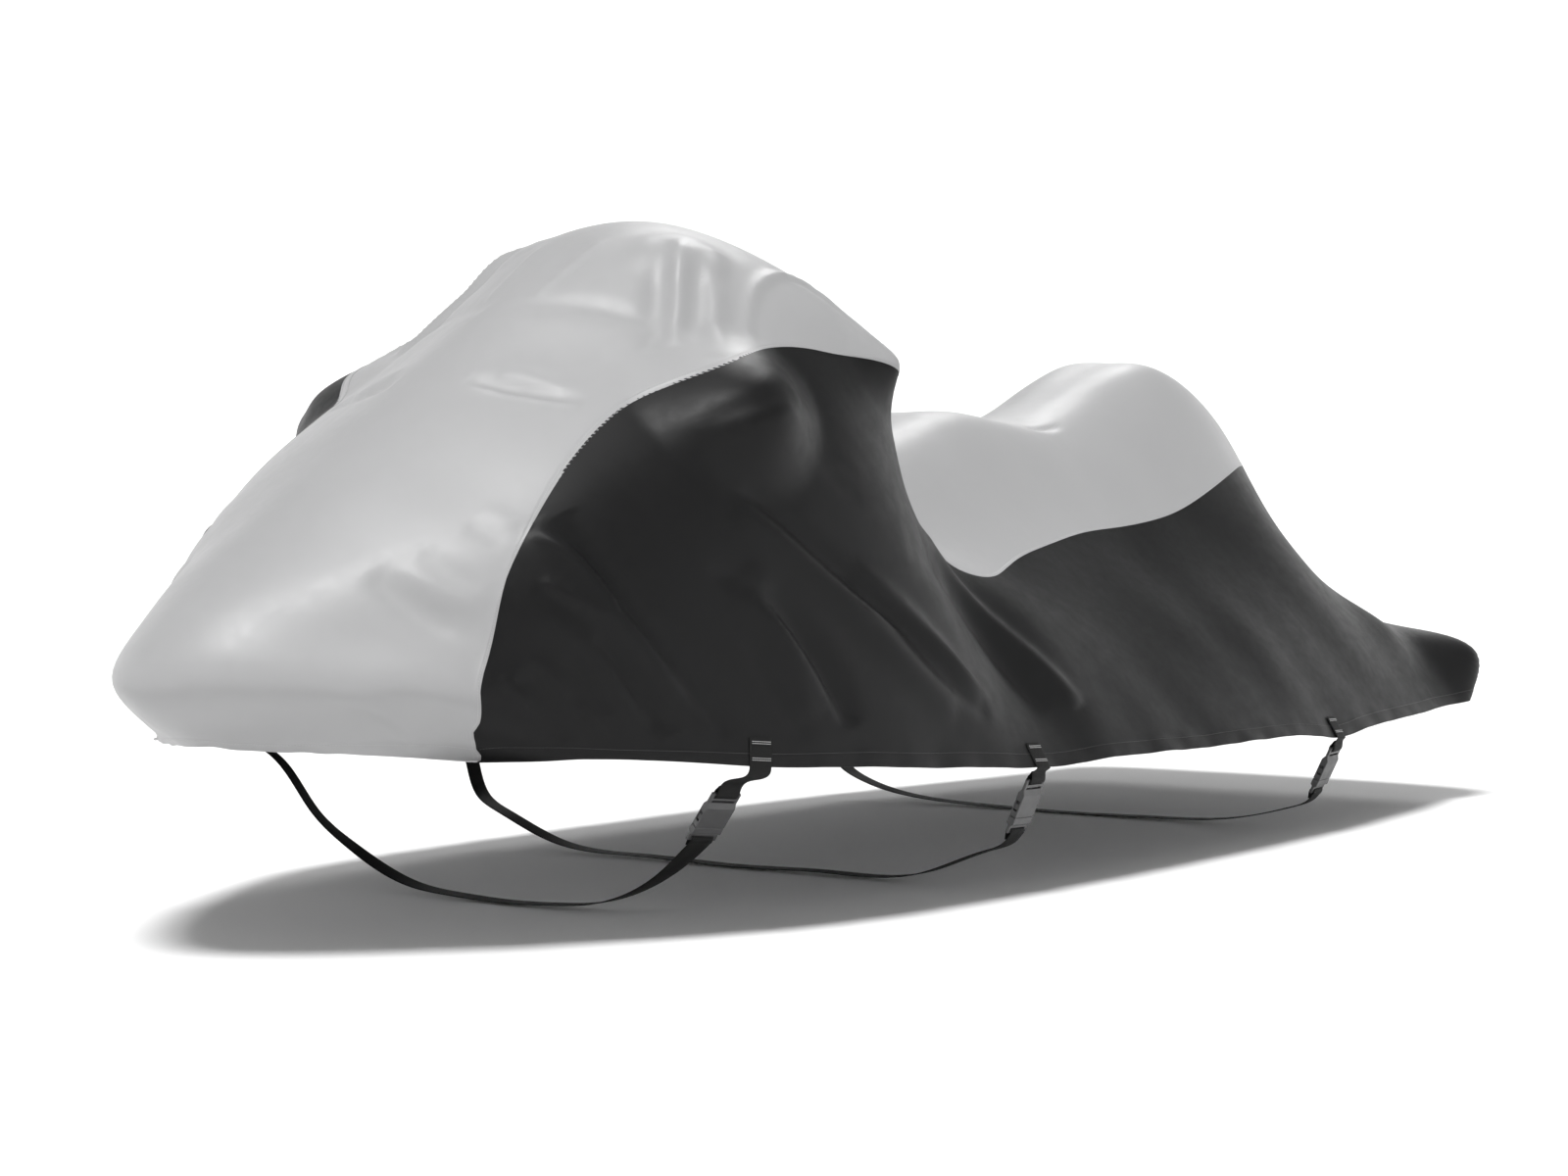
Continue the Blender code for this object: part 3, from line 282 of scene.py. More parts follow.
# ---- the seam and the hem, as curves on the surface ----
SEAM_UV = np.array([row[1:] for row in SEAM])
SEAM_PAST = np.concatenate([SEAM_UV, SEAM_UV[-2:-4:-1] * (1, -1)])   # carries it square past the centre
SEAM_LENGTHS = running_length(surface(SEAM_PAST[:, 0], SEAM_PAST[:, 1]))
SEAM_PLACES = SEAM_LENGTHS / SEAM_LENGTHS[len(SEAM_UV) - 1]


def seam_at(t):
    """The port seam at t, from 0 at its foot to 1 at the middle of the seat back."""
    return spline(SEAM_PLACES, SEAM_PAST, t)


def side_hem_at(t):
    """The port hem at t, from 0 at the seam's foot over 1 at the stern corner to 2 at its middle."""
    t = np.asarray(t, float)
    return np.stack([np.minimum(t, 1), np.clip(2 - t, 0, 1)], axis=-1)


def bow_hem_at(t):
    """The bow hem at t, from 0 at the port foot to 1 at the starboard foot."""
    t = np.asarray(t, float)
    return np.stack([0 * t, 1 - 2 * t], axis=-1)


def stern_middle_at(t):
    """The middle line at t, from 0 at the seat back to 1 at the stern hem."""
    t = np.asarray(t, float)
    start = SEAM_UV[-1, 0]
    return np.stack([start + (1 - start) * t, 0 * t], axis=-1)


# ---- finer creases, on top of the main folds ----
CREASES = (
    # name, its (u, v) places in order, half width, height, lean
    ("front ridge", ((0.133, 0.508), (0.128, 0.595), (0.121, 0.675), (0.117, 0.715)), 0.010, 0.0050, 0.5),
    ("front trough", ((0.137, 0.570), (0.127, 0.660), (0.118, 0.745), (0.107, 0.950)), 0.012, -0.0055, 0.0),
    ("second ridge", ((0.110, 0.610), (0.108, 0.675), (0.106, 0.735)), 0.009, 0.0045, 0.4),
    ("second trough", ((0.104, 0.620), (0.101, 0.690), (0.098, 0.760)), 0.012, -0.0040, 0.0),
    ("third ridge", ((0.090, 0.735), (0.082, 0.815), (0.068, 0.915)), 0.012, 0.0045, 0.3),
    ("third trough", ((0.096, 0.745), (0.089, 0.825), (0.075, 0.935)), 0.012, -0.0055, 0.0),
    ("foot ridge", ((0.056, 0.738), (0.052, 0.775), (0.047, 0.815)), 0.009, 0.0040, 0.4),
    ("foot trough", ((0.062, 0.755), (0.057, 0.810), (0.050, 0.865)), 0.010, -0.0040, 0.0),
    ("fourth ridge", ((0.071, 0.740), (0.065, 0.785), (0.059, 0.830)), 0.010, 0.0050, 0.4),
    ("fourth trough", ((0.077, 0.765), (0.071, 0.825), (0.064, 0.885)), 0.010, -0.0045, 0.0),
    ("hem ridge", ((0.059, 0.845), (0.054, 0.880), (0.050, 0.918)), 0.009, 0.0035, 0.3),
    ("hem tuck", ((0.095, 0.889), (0.091, 0.915), (0.087, 0.944)), 0.012, -0.0030, 0.0),
    ("side tuck", ((0.170, 0.705), (0.190, 0.810), (0.194, 0.945)), 0.016, -0.0060, 0.0),
    ("side tuck ridge", ((0.178, 0.750), (0.184, 0.850), (0.183, 0.945)), 0.013, 0.0040, 0.2),
    ("low tuck", ((0.162, 0.813), (0.155, 0.893), (0.151, 0.958)), 0.018, -0.0040, 0.0),
    ("long ridge", ((0.204, 0.640), (0.228, 0.770), (0.262, 0.830), (0.295, 0.895)), 0.011, 0.0045, 0.4),
    ("long back ridge", ((0.256, 0.780), (0.285, 0.835), (0.325, 0.925)), 0.009, 0.0050, 0.3),
    ("grip pleat ridge", ((0.280, 0.611), (0.289, 0.631), (0.296, 0.648)), 0.014, 0.0010, 0.3),
    ("grip pleat trough", ((0.267, 0.626), (0.273, 0.648), (0.283, 0.671)), 0.016, -0.0015, 0.0),
    ("toe ridge", ((0.103, 0.385), (0.092, 0.510), (0.088, 0.600)), 0.017, 0.0032, 0.3),
    ("toe trough", ((0.097, 0.367), (0.087, 0.475), (0.075, 0.600)), 0.021, -0.0038, 0.0),
    ("toe high trough", ((0.113, 0.395), (0.105, 0.470), (0.097, 0.560)), 0.017, -0.0026, 0.0),
    ("bend ridge", ((0.141, 0.390), (0.138, 0.435), (0.134, 0.475)), 0.015, 0.0014, 0.0),
    ("bend trough", ((0.130, 0.405), (0.128, 0.450), (0.125, 0.490)), 0.015, -0.0020, 0.0),
    ("lip ridge", ((0.036, 0.515), (0.026, 0.642), (0.004, 0.766)), 0.013, 0.0045, 0.3),
    ("lip trough", ((0.042, 0.615), (0.027, 0.737), (0.011, 0.867)), 0.018, -0.0035, 0.0),
    ("hood tuck", ((0.212, 0.130), (0.211, 0.180), (0.208, 0.240)), 0.014, -0.0022, 0.0),
    ("hood tuck ridge", ((0.218, 0.160), (0.218, 0.215), (0.212, 0.300)), 0.017, 0.0036, 0.2),
    ("screen edge", ((0.262, 0.075), (0.285, 0.085), (0.305, 0.085)), 0.012, 0.0030, 0.3),
    ("screen foot", ((0.256, 0.043), (0.261, 0.210), (0.261, 0.306)), 0.022, -0.0055, 0.0),
    ("screen valley", ((0.312, 0.190), (0.277, 0.275), (0.247, 0.345)), 0.020, -0.0060, 0.0),
    ("screen pleat", ((0.309, 0.220), (0.281, 0.300), (0.254, 0.357)), 0.010, 0.0060, 0.2),
    ("screen pleat back", ((0.305, 0.290), (0.286, 0.348), (0.262, 0.398)), 0.010, 0.0055, 0.2),
    ("bar ring", ((0.277, 0.434), (0.290, 0.405), (0.305, 0.381), (0.322, 0.364), (0.338, 0.362),
                  (0.345, 0.385), (0.349, 0.440), (0.351, 0.500)), 0.009, 0.0070, 0.3),
    ("bar back ridge", ((0.328, 0.344), (0.339, 0.419), (0.348, 0.524)), 0.012, 0.0030, 0.2),
    ("mirror valley fill", ((0.219, 0.484), (0.245, 0.491), (0.263, 0.515)), 0.022, 0.0070, 0.0),
    ("seat pinch", ((0.622, 0.160), (0.632, 0.190), (0.648, 0.205)), 0.010, -0.0050, 0.0),
)

# ---- how the sewing shows ----
SEAM_LAP = 0.010           # width of the turned edge of the silver cloth along the seam
HEM_RISE = 0.0007          # how far the hem's double cloth stands out
STITCH_SINK = 0.0005       # how far the stitching sinks into the cloth
STITCH_INSET = 0.0045      # from the hem's upper edge, and from the seam, to that sunk line
HEM_GROOVE = 0.0022        # half width of the hem's sunk line
SEAM_GROOVE = 0.0020       # half width of the seam's
HEM_STEP = 0.003           # width over which the hem's double cloth rises
LAP_STEP = 0.0025          # width over which the seam's turned edge rises
SEAM_TRIM = 0.008          # left bare at both ends of a line of stitches on the silver cloth
HEM_TRIM = 0.004           # left bare at both ends of one on the black cloth
LOCAL_SLACK = (
    # wavelength, height
    (0.460, 0.0011),
    (0.330, 0.0009),
    (0.240, 0.0007),
    (0.170, 0.0004),
)
HEM_RIPPLES = (
    # wavelength, height
    (0.092, 0.0007),
    (0.061, 0.0004),
    (0.041, 0.0002),
)
RIPPLE_REACH = 0.034       # how far above the hem its ripples fade
RIPPLE_START = 0.150       # the ripples grow from nothing over this length of hem beside a seam
RIPPLE_DROP = (1, 1, 0.3)  # heights count for less, so that the ripples run up from the hem
SLACK_SEED = 11
RIPPLE_SEED = 5


def smoothstep(x):
    """0 below 0, 1 above 1 and 3x^2 - 2x^3 between."""
    x = np.clip(x, 0.0, 1.0)
    return x * x * (3 - 2 * x)


def fold_rise(points, out, places, half_width, rise, lean):
    """How far one fold raises the cloth at each point, the same on both sides of the cover.

    A spline is laid through the fold's places.  With d the distance to it and s the share of the
    way along it, the rise is height * sqrt(4 s (1 - s)) * exp(-(d / w)^2), where the half width w
    is (1 + lean) times its value on the left of the line and (1 - lean) times on its right.
    """
    here = points * (1, 0, 1) + np.abs(points) * (0, 1, 0)
    facing = np.where(points[:, 1:2] < 0, out * MIRROR, out)
    t = np.linspace(0, 1, FOLD_STEPS + 1)
    u, v = spline(np.linspace(0, 1, len(places)), np.array(places), t).T
    line = surface(u, v)
    nearest = np.full(len(here), np.inf)
    place = np.zeros(len(here))
    left = np.zeros(len(here))
    for k in range(FOLD_STEPS):
        run = line[k + 1] - line[k]
        offset = here - line[k]
        share = np.clip(offset @ run / (run @ run), 0, 1)
        offset -= share[:, None] * run
        distance = np.linalg.norm(offset, axis=1)
        closer = distance < nearest
        nearest = np.where(closer, distance, nearest)
        place = np.where(closer, (k + share) / FOLD_STEPS, place)
        left = np.where(closer, np.einsum("nc,nc->n", np.cross(facing, run), offset), left)
    width = half_width * (1 + lean * np.sign(left))
    fade = np.sqrt(np.clip(4 * place * (1 - place), 0, 1))
    return rise * fade * np.exp(-(nearest / width) ** 2)


def fold_rises(points, out):
    """All the main folds and finer creases together."""
    total = np.zeros(len(points))
    for _, u0, v0, u1, v1, u2, v2, half_width, rise in FOLDS:
        places = ((u0, v0), (u1, v1), (u2, v2))
        total += fold_rise(points, out, places, half_width, rise, 0.0)
    for _, places, half_width, rise, lean in CREASES:
        total += fold_rise(points, out, places, half_width, rise, lean)
    return total


def waves(points, rows, seed):
    """A sum of plane waves, two for each wavelength, in fixed directions and phases."""
    source = np.random.default_rng(seed)
    total = np.zeros(len(points))
    for wavelength, height in rows:
        for _ in range(2):
            direction = source.normal(size=3)
            direction /= np.linalg.norm(direction)
            phase = source.uniform(0, 2 * np.pi)
            total += height * np.sin(points @ direction * (2 * np.pi / wavelength) + phase)
    return total


# ---- grids of the panels ----
def marks(length, spans, near_start, near_end):
    """Places along a length: given ones near both ends and evenly spaced ones between."""
    inner = np.linspace(near_start[-1], length - near_end[-1], spans + 1)[1:-1]
    return np.concatenate([near_start, inner, length - np.array(near_end)[::-1]])


def stops(curve, start, end, spans, near_start=(0.0,), near_end=(0.0,), fine=900):
    """Values of a curve's own parameter whose places on the surface are spaced as marks says."""
    t = np.linspace(start, end, fine)
    length = running_length(surface(*curve(t).T))
    return np.interp(marks(length[-1], spans, near_start, near_end), length, t)


def patch(left, right, top, bottom):
    """Fill four edges on the surface (a Coons patch): the two ruled fills less the corners' fill."""
    p = np.linspace(0, 1, len(top))[:, None, None]
    q = np.linspace(0, 1, len(left))[None, :, None]
    ruled = (1 - q) * top[:, None] + q * bottom[:, None] + (1 - p) * left[None] + p * right[None]
    corners = (1 - p) * ((1 - q) * top[0] + q * bottom[0]) + p * ((1 - q) * top[-1] + q * bottom[-1])
    return ruled - corners


def even_rows(grid, spans, near_start, near_end):
    """Move the places along each column of a grid so that their lengths are as marks says."""
    points = surface(grid[..., 0], grid[..., 1])
    steps = np.linalg.norm(np.diff(points, axis=1), axis=-1)
    length = np.concatenate([np.zeros((len(grid), 1)), np.cumsum(steps, axis=1)], axis=1)
    columns = []
    for column, run in zip(grid, length):
        wanted = marks(run[-1], spans, near_start, near_end)
        columns.append(np.stack([np.interp(wanted, run, place) for place in column.T], axis=-1))
    return np.array(columns)


# distances from an edge at which a panel's grid has lines
NEAR_SEAM = (0.0, 0.0015, 0.0045, 0.0080, 0.0098, 0.0120, 0.0170)
NEAR_HEM = (0.0, 0.0050, 0.0120, 0.0190, 0.0225, 0.0250, 0.0275, 0.0300, 0.0360)
NEAR_MIDDLE = (0.0, 0.006)
PATCH_ROWS = 120           # spans of a panel's ends before its rows are spaced


def port_grid(along, down):
    """(u, v) of the port panel: columns from the seam's bend aft, rows from the seam to the hem."""
    bend = SEAM_BEND
    top = seam_at(stops(seam_at, bend, 1.0, along, NEAR_SEAM, NEAR_MIDDLE))
    hem = side_hem_at(stops(side_hem_at, 0.0, 2.0, along, NEAR_SEAM, NEAR_MIDDLE))
    left = seam_at(stops(seam_at, bend, 0.0, PATCH_ROWS))
    right = stern_middle_at(stops(stern_middle_at, 0.0, 1.0, PATCH_ROWS))
    return even_rows(patch(left, right, top, hem), down, NEAR_SEAM, NEAR_HEM)


def silver_grid(across, along):
    """(u, v) of the silver panel: columns from port to starboard, rows from the bow hem aft."""
    corner = SEAM_CORNER
    side = seam_at(stops(seam_at, 0.0, corner, PATCH_ROWS))
    half = seam_at(stops(seam_at, corner, 1.0, across // 2, NEAR_SEAM))
    back = np.concatenate([half, half[-2::-1] * (1, -1)])
    spans = len(back) - 1 - 2 * (len(NEAR_SEAM) - 1)
    front = bow_hem_at(stops(bow_hem_at, 0.0, 1.0, spans, NEAR_SEAM, NEAR_SEAM))
    return even_rows(patch(side, side * (1, -1), front, back), along, NEAR_HEM, NEAR_SEAM)


def lengths_along(points, axis):
    """Running length of every grid line along an axis, with the same shape as the grid."""
    steps = np.linalg.norm(np.diff(points, axis=axis), axis=-1)
    start = np.zeros_like(np.take(steps, [0], axis=axis))
    return np.concatenate([start, np.cumsum(steps, axis=axis)], axis=axis)


def cloth(uv, seam_edges, hem_edge, seam_rise):
    """Outer points of a panel, the vectors out of it, its flat coordinates and its hem share.

    The base surface is raised along its normal by the folds, the slack (long waves), the hem's
    ripples, the hem's double cloth and the seam's lap.  seam_edges and hem_edge name the grid's
    edges as (axis, end), with end 0 or -1.
    """
    shape = uv.shape[:2]
    base = surface(uv[..., 0], uv[..., 1])
    out = normals(uv[..., 0], uv[..., 1])
    flat, flat_out = base.reshape(-1, 3), out.reshape(-1, 3)
    run = [lengths_along(base, 0), lengths_along(base, 1)]

    def from_edge(edge):
        axis, end = edge
        return run[axis] if end == 0 else np.take(run[axis], [-1], axis=axis) - run[axis]

    to_hem = from_edge(hem_edge)
    to_seam = np.minimum.reduce([from_edge(edge) for edge in seam_edges])
    rise = fold_rises(flat, flat_out).reshape(shape)
    rise += waves(flat, LOCAL_SLACK, SLACK_SEED).reshape(shape)
    ripple = waves(flat * RIPPLE_DROP, HEM_RIPPLES, RIPPLE_SEED).reshape(shape)
    rise += ripple * np.exp(-(to_hem / RIPPLE_REACH) ** 2) * smoothstep(to_seam / RIPPLE_START)
    rise += HEM_RISE * smoothstep((HEM_DEPTH - to_hem) / HEM_STEP)
    rise -= STITCH_SINK * np.exp(-((to_hem - HEM_DEPTH + STITCH_INSET) / HEM_GROOVE) ** 2)
    if seam_rise > 0:
        rise += seam_rise * smoothstep((SEAM_LAP - to_seam) / LAP_STEP)
        rise -= STITCH_SINK * np.exp(-((to_seam - STITCH_INSET) / SEAM_GROOVE) ** 2)
    points = base + rise[..., None] * out
    middle = [run[axis] - np.take(run[axis], [shape[axis] // 2], axis=axis) for axis in (0, 1)]
    return points, out, np.stack(middle, axis=-1), to_hem


# ---- meshes ----
SHARP_ANGLE = math.radians(50)   # edges that bend more than this show


def mesh_of(name, points, quads, uv=None):
    """A smooth mesh from arrays of points and quads, with a UV map in metres if it is given."""
    mesh = bpy.data.meshes.new(name)
    mesh.vertices.add(len(points))
    mesh.vertices.foreach_set("co", (points - DATUM).astype(np.float32).ravel())
    mesh.loops.add(4 * len(quads))
    mesh.loops.foreach_set("vertex_index", quads.astype(np.int32).ravel())
    mesh.polygons.add(len(quads))
    mesh.polygons.foreach_set("loop_start", np.arange(0, 4 * len(quads), 4, dtype=np.int32))
    mesh.polygons.foreach_set("loop_total", np.full(len(quads), 4, dtype=np.int32))
    mesh.update(calc_edges=True)
    if uv is not None:
        layer = mesh.uv_layers.new(name="flat")
        layer.data.foreach_set("uv", uv[quads.ravel()].astype(np.float32).ravel())
    mesh.validate()
    mesh.shade_smooth()
    mesh.set_sharp_from_angle(angle=SHARP_ANGLE)
    return mesh


def grid_quads(rows, columns, start=0, closed=False):
    """Quads of a grid of points; closed joins its last column to its first."""
    index = np.arange(rows * columns).reshape(rows, columns) + start
    beside = np.roll(index, -1, axis=1)
    width = columns if closed else columns - 1
    quad = [index[:-1, :width], beside[:-1, :width], beside[1:, :width], index[1:, :width]]
    return np.stack(quad, axis=-1).reshape(-1, 4)


def wall(name, outer, out, thick, uv, flipped):
    """A closed cloth wall: the outer skin, the inner skin a thickness behind it, and the edge."""
    rows, columns = outer.shape[:2]
    back = rows * columns
    skin = grid_quads(rows, columns)
    index = np.arange(back).reshape(rows, columns)
    ring = np.concatenate([index[:-1, 0], index[-1, :-1], index[:0:-1, -1], index[0, :0:-1]])
    following = np.roll(ring, -1)
    edge = np.stack([ring, following, following + back, ring + back], axis=1)
    quads = np.concatenate([skin, skin[:, ::-1] + back, edge])
    if flipped:
        quads = quads[:, ::-1]
    points = np.concatenate([outer.reshape(-1, 3), (outer - out * thick[..., None]).reshape(-1, 3)])
    return mesh_of(name, points, quads, np.tile(uv.reshape(-1, 2), (2, 1)))


def rail(rings):
    """Points and quads of a closed tube through rings of points; strips across close its ends."""
    count, around = rings.shape[:2]
    quads = [grid_quads(count, around, closed=True)]
    across = np.arange(around // 2 - 1)
    cap = np.stack([across, across + 1, around - 2 - across, around - 1 - across], axis=1)
    quads += [cap[:, ::-1], cap + (count - 1) * around]
    return rings.reshape(-1, 3), np.concatenate(quads)


def piece(name, mesh, material, replaced=()):
    """Link a finished piece, let it ride on the cover and hide the solids that it stands for."""
    thing = bpy.data.objects.new(name, mesh)
    bpy.context.scene.collection.objects.link(thing)
    mesh.materials.append(material)
    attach(thing, "root")
    if replaced:
        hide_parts(*replaced)
    return thing


# ---- threads ----
def along(line, places):
    """Read a row of values, whose first column is the running length, at the places asked."""
    return np.stack([np.interp(places, line[:, 0], column) for column in line.T[1:]], axis=1)


def inset_line(points, out, axis, end, distance):
    """The line on a grid that runs a distance in from one of its edges, with its normals."""
    values = np.concatenate([points, out], axis=-1)
    if axis == 1:
        values = values.transpose(1, 0, 2)
    if end == -1:
        values = values[::-1]
    run = lengths_along(values[..., :3], 0)
    after = np.argmax(run >= distance, axis=0)
    cross = np.arange(values.shape[1])
    low, high = run[after - 1, cross], run[after, cross]
    share = ((distance - low) / (high - low))[:, None]
    line = values[after - 1, cross] * (1 - share) + values[after, cross] * share
    length = running_length(line[:, :3])
    return np.concatenate([length[:, None], line], axis=1)


STITCH = np.array([
    # share of its length, and its lift and thickness as shares of the thread's radius
    (0.00, -0.60, 0.55),
    (0.25, 0.55, 1.00),
    (0.75, 0.55, 1.00),
    (1.00, -0.60, 0.55),
])


def stitch_rings(line, pitch, gap, radius, trim):
    """Stitches along a line: bent rods, each sunk at both ends and proud in its middle."""
    total = line[-1, 0]
    count = int((total - 2 * trim) / pitch)
    start = trim + np.arange(count) * pitch
    share, lift, size = STITCH.T
    places = start[:, None] + share * (pitch - gap)
    here = along(line, places.ravel()).reshape(count, len(share), 6)
    centre, out = here[..., :3], here[..., 3:]
    out = out / np.linalg.norm(out, axis=-1, keepdims=True)
    run = np.gradient(centre, axis=1)
    run /= np.linalg.norm(run, axis=-1, keepdims=True)
    side = np.cross(out, run)
    turn = np.arange(6) * np.pi / 3
    ring = (np.cos(turn)[:, None] * side[:, :, None] + np.sin(turn)[:, None] * out[:, :, None])
    raised = centre + (lift * radius)[:, None] * out
    return raised[:, :, None] + ring * (size * radius)[:, None, None]


def thread_mesh(name, bunches):
    """One mesh of many stitches, each a closed rod."""
    points, quads, total = [], [], 0
    for rings in bunches:
        count, spans, around = rings.shape[:3]
        _, one = rail(rings[0])
        step = spans * around
        quads.append((one + (np.arange(count) * step)[:, None, None]).reshape(-1, 4) + total)
        points.append(rings.reshape(-1, 3))
        total += count * step
    return mesh_of(name, np.concatenate(points), np.concatenate(quads))


# ---- belly straps ----
def unit(vector):
    """The same direction, one long."""
    return vector / np.linalg.norm(vector)


def hem_place(x):
    """u of the port hem at a station."""
    u = np.linspace(0.0, 0.95, 1200)
    station = surface(u, np.ones_like(u))[:, 0]
    return float(np.interp(-x, -station, u))


def cloth_height(cloth_tree, place, out):
    """How far the cloth stands out from a place near it, or None where there is no cloth."""
    place = place - DATUM
    distance = cloth_tree.ray_cast(Vector(place + out * FEEL), Vector(-out), 2 * FEEL)[3]
    return None if distance is None else FEEL - distance


def sewn_line(x, cloth_tree):
    """Middle of the web's sewn end, from its top to just under the port hem, with its directions."""
    u = hem_place(x)
    hem = surface(np.array([u]), np.array([1.0]))[0]
    out = normals(np.array([u]), np.array([1.0]))[0]
    ends = surface(np.array([u - HEM_SHARE, u + HEM_SHARE]), np.ones(2))
    side = unit(ends[0] - ends[1])
    out = unit(out - (out @ side) * side)
    up = np.cross(side, out)
    ups = np.linspace(SEWN_END, 0.0, 2 * SEWN_SPANS + 1)
    heights = []
    for distance in ups:
        places = [hem + up * distance + side * across for across in SEWN_PROBES * WEB_WIDTH]
        found = [cloth_height(cloth_tree, place, out) for place in places]
        heights.append(max([height for height in found if height is not None], default=-1.0))
    heights = np.array(heights)
    heights = np.where(heights < -0.5, heights[-3], heights)
    padded = np.concatenate([heights[:1], heights, heights[-1:]])
    highest = np.maximum(np.maximum(padded[:-2], padded[1:-1]), padded[2:])
    points = hem + up * ups[:, None] + out * (highest + SEWN_CLEAR + WEB_THICK / 2)[:, None]
    points = np.concatenate([points[::2], [points[-1] - up * BELOW_HEM]])
    return points, np.tile(side, (len(points), 1))


def buckle_frame(top, foot, hem_side):
    """Origin at the middle of a buckle's top edge; rows are its width, length and outward depth."""
    down = unit(np.array(foot) - np.array(top))
    width = unit(hem_side - (hem_side @ down) * down)
    return np.array(top), np.stack([width, down, np.cross(width, down)])


def loop_local(lead):
    """Middle of a web that comes down to a bar, rounds it and tucks in behind: (along, depth)."""
    middle = BAR / 2
    radius = BAR / 2 + BAR_GAP + WEB_THICK / 2
    turn = np.radians(np.linspace(90, -90, 17))
    bend = np.stack([middle + radius * np.cos(turn), radius * np.sin(turn)], axis=1)
    # behind the bar the two thicknesses close up on each other in two steps
    ease = np.array([[middle - 0.0045, radius * 0.93], [middle - 0.009, radius * 0.60]])
    front = np.array([[-lead, LAP / 2]])
    back = np.array([[-TUCK, LAP / 2]])
    return np.concatenate([front, ease[::-1], bend, ease * (1, -1), back * (1, -1)])


def to_world(local, origin, frame, foot=False):
    """Place (along, depth) pairs in a buckle's frame, measured from its top or from its foot."""
    along_it = BUCKLE_LENGTH - local[:, :1] if foot else local[:, :1]
    return origin + along_it * frame[1] + local[:, 1:] * frame[2]


def smooth(points, sides, spans):
    """A smooth run through a few points, with its width directions, evenly spaced."""
    length = running_length(points)
    at = np.linspace(0, length[-1], spans + 1)
    return spline(length, points, at), spline(length, sides, at)


def strap_paths(strap, cloth_tree):
    """Middles and width directions of a strap's upper web and of its long web, and its buckle."""
    name, x, _, *places = strap
    chine_x, chine_y, chine_z, keel_x, keel_z = UNDERSIDES[name]
    sewn, sewn_sides = sewn_line(x, cloth_tree)
    origin, buckle = buckle_frame(places[:3], places[3:6], sewn_sides[-1])
    loop = loop_local(TUCK)
    near = to_world(loop, origin, buckle)
    start = np.concatenate([sewn[-2:], near[:2]])
    start_sides = np.concatenate([sewn_sides[-2:], [buckle[0], buckle[0]]])
    drop, drop_sides = smooth(start, start_sides, DROP_SPANS)
    upper = np.concatenate([sewn[:-2], drop, near[2:]])
    upper_sides = np.concatenate([sewn_sides[:-2], drop_sides, np.tile(buckle[0], (len(near) - 2, 1))])

    far = to_world(loop, origin, buckle, foot=True)[::-1]
    across = np.array([1.0, 0.0, 0.0])
    port = [far[-2], far[-1]]
    chine = np.array([chine_x, chine_y, chine_z])
    keel = np.array([keel_x, 0.0, keel_z])
    under = [np.array(places[6:]), chine, (chine + keel) / 2 - (0, 0, (chine_z - keel_z) / 4), keel]
    top = to_world(np.array([[-ABOVE_BUCKLE, LAP / 2]]), origin, buckle)[0]
    run = port + under
    back = [p * MIRROR for p in run[-2:1:-1]] + [far[-2] * MIRROR, top * MIRROR]
    points = np.array(run + back + [sewn[-1] * MIRROR])
    lean = buckle[0]
    sides = [lean, lean, unit(lean + across), across, across, across, across, across,
             unit(lean * MIRROR + across), lean * MIRROR, lean * MIRROR]
    sides = np.array(sides + [sewn_sides[-1] * MIRROR])
    long_run, long_sides = smooth(points, sides, LONG_SPANS)
    long_web = np.concatenate([far[:-2], long_run, sewn[-2::-1] * MIRROR])
    long_web_sides = np.concatenate([np.tile(lean, (len(far) - 2, 1)), long_sides,
                                     sewn_sides[-2::-1] * MIRROR])
    return (upper, upper_sides), (long_web, long_web_sides), (origin, buckle)


# places across a web, as shares of half its width
WEB_PROFILE = np.array([-1.0, -0.94, -0.80, -0.40, 0.0, 0.40, 0.80, 0.94, 1.0])


def web_mesh(name, middles, sides):
    """A woven web: a flat profile with rounded edges carried along a path.

    Across the web a runs from -1 to 1 and the half thickness is t * (1 - |a|^9)^(1/2), so its
    edges are rounded, and never under t * 0.03^(1/2).  The second flat coordinate is the length.
    """
    run = np.gradient(middles, axis=0)
    run /= np.linalg.norm(run, axis=1, keepdims=True)
    sides = sides - (sides * run).sum(axis=1, keepdims=True) * run
    sides /= np.linalg.norm(sides, axis=1, keepdims=True)
    out = np.cross(sides, run)
    half = WEB_THICK / 2 * np.sqrt(np.clip(1 - np.abs(WEB_PROFILE) ** 9, 0.03, 1))
    a = np.concatenate([WEB_PROFILE, WEB_PROFILE[::-1]])
    b = np.concatenate([half, -half[::-1]])
    rings = (middles[:, None] + sides[:, None] * (a * WEB_WIDTH / 2)[:, None] + out[:, None] * b[:, None])
    points, quads = rail(rings)
    length = running_length(middles)
    flat = np.stack(np.broadcast_arrays((a * WEB_WIDTH / 2)[None], length[:, None]), axis=-1)
    return mesh_of(name, points, quads, flat.reshape(-1, 2)), out


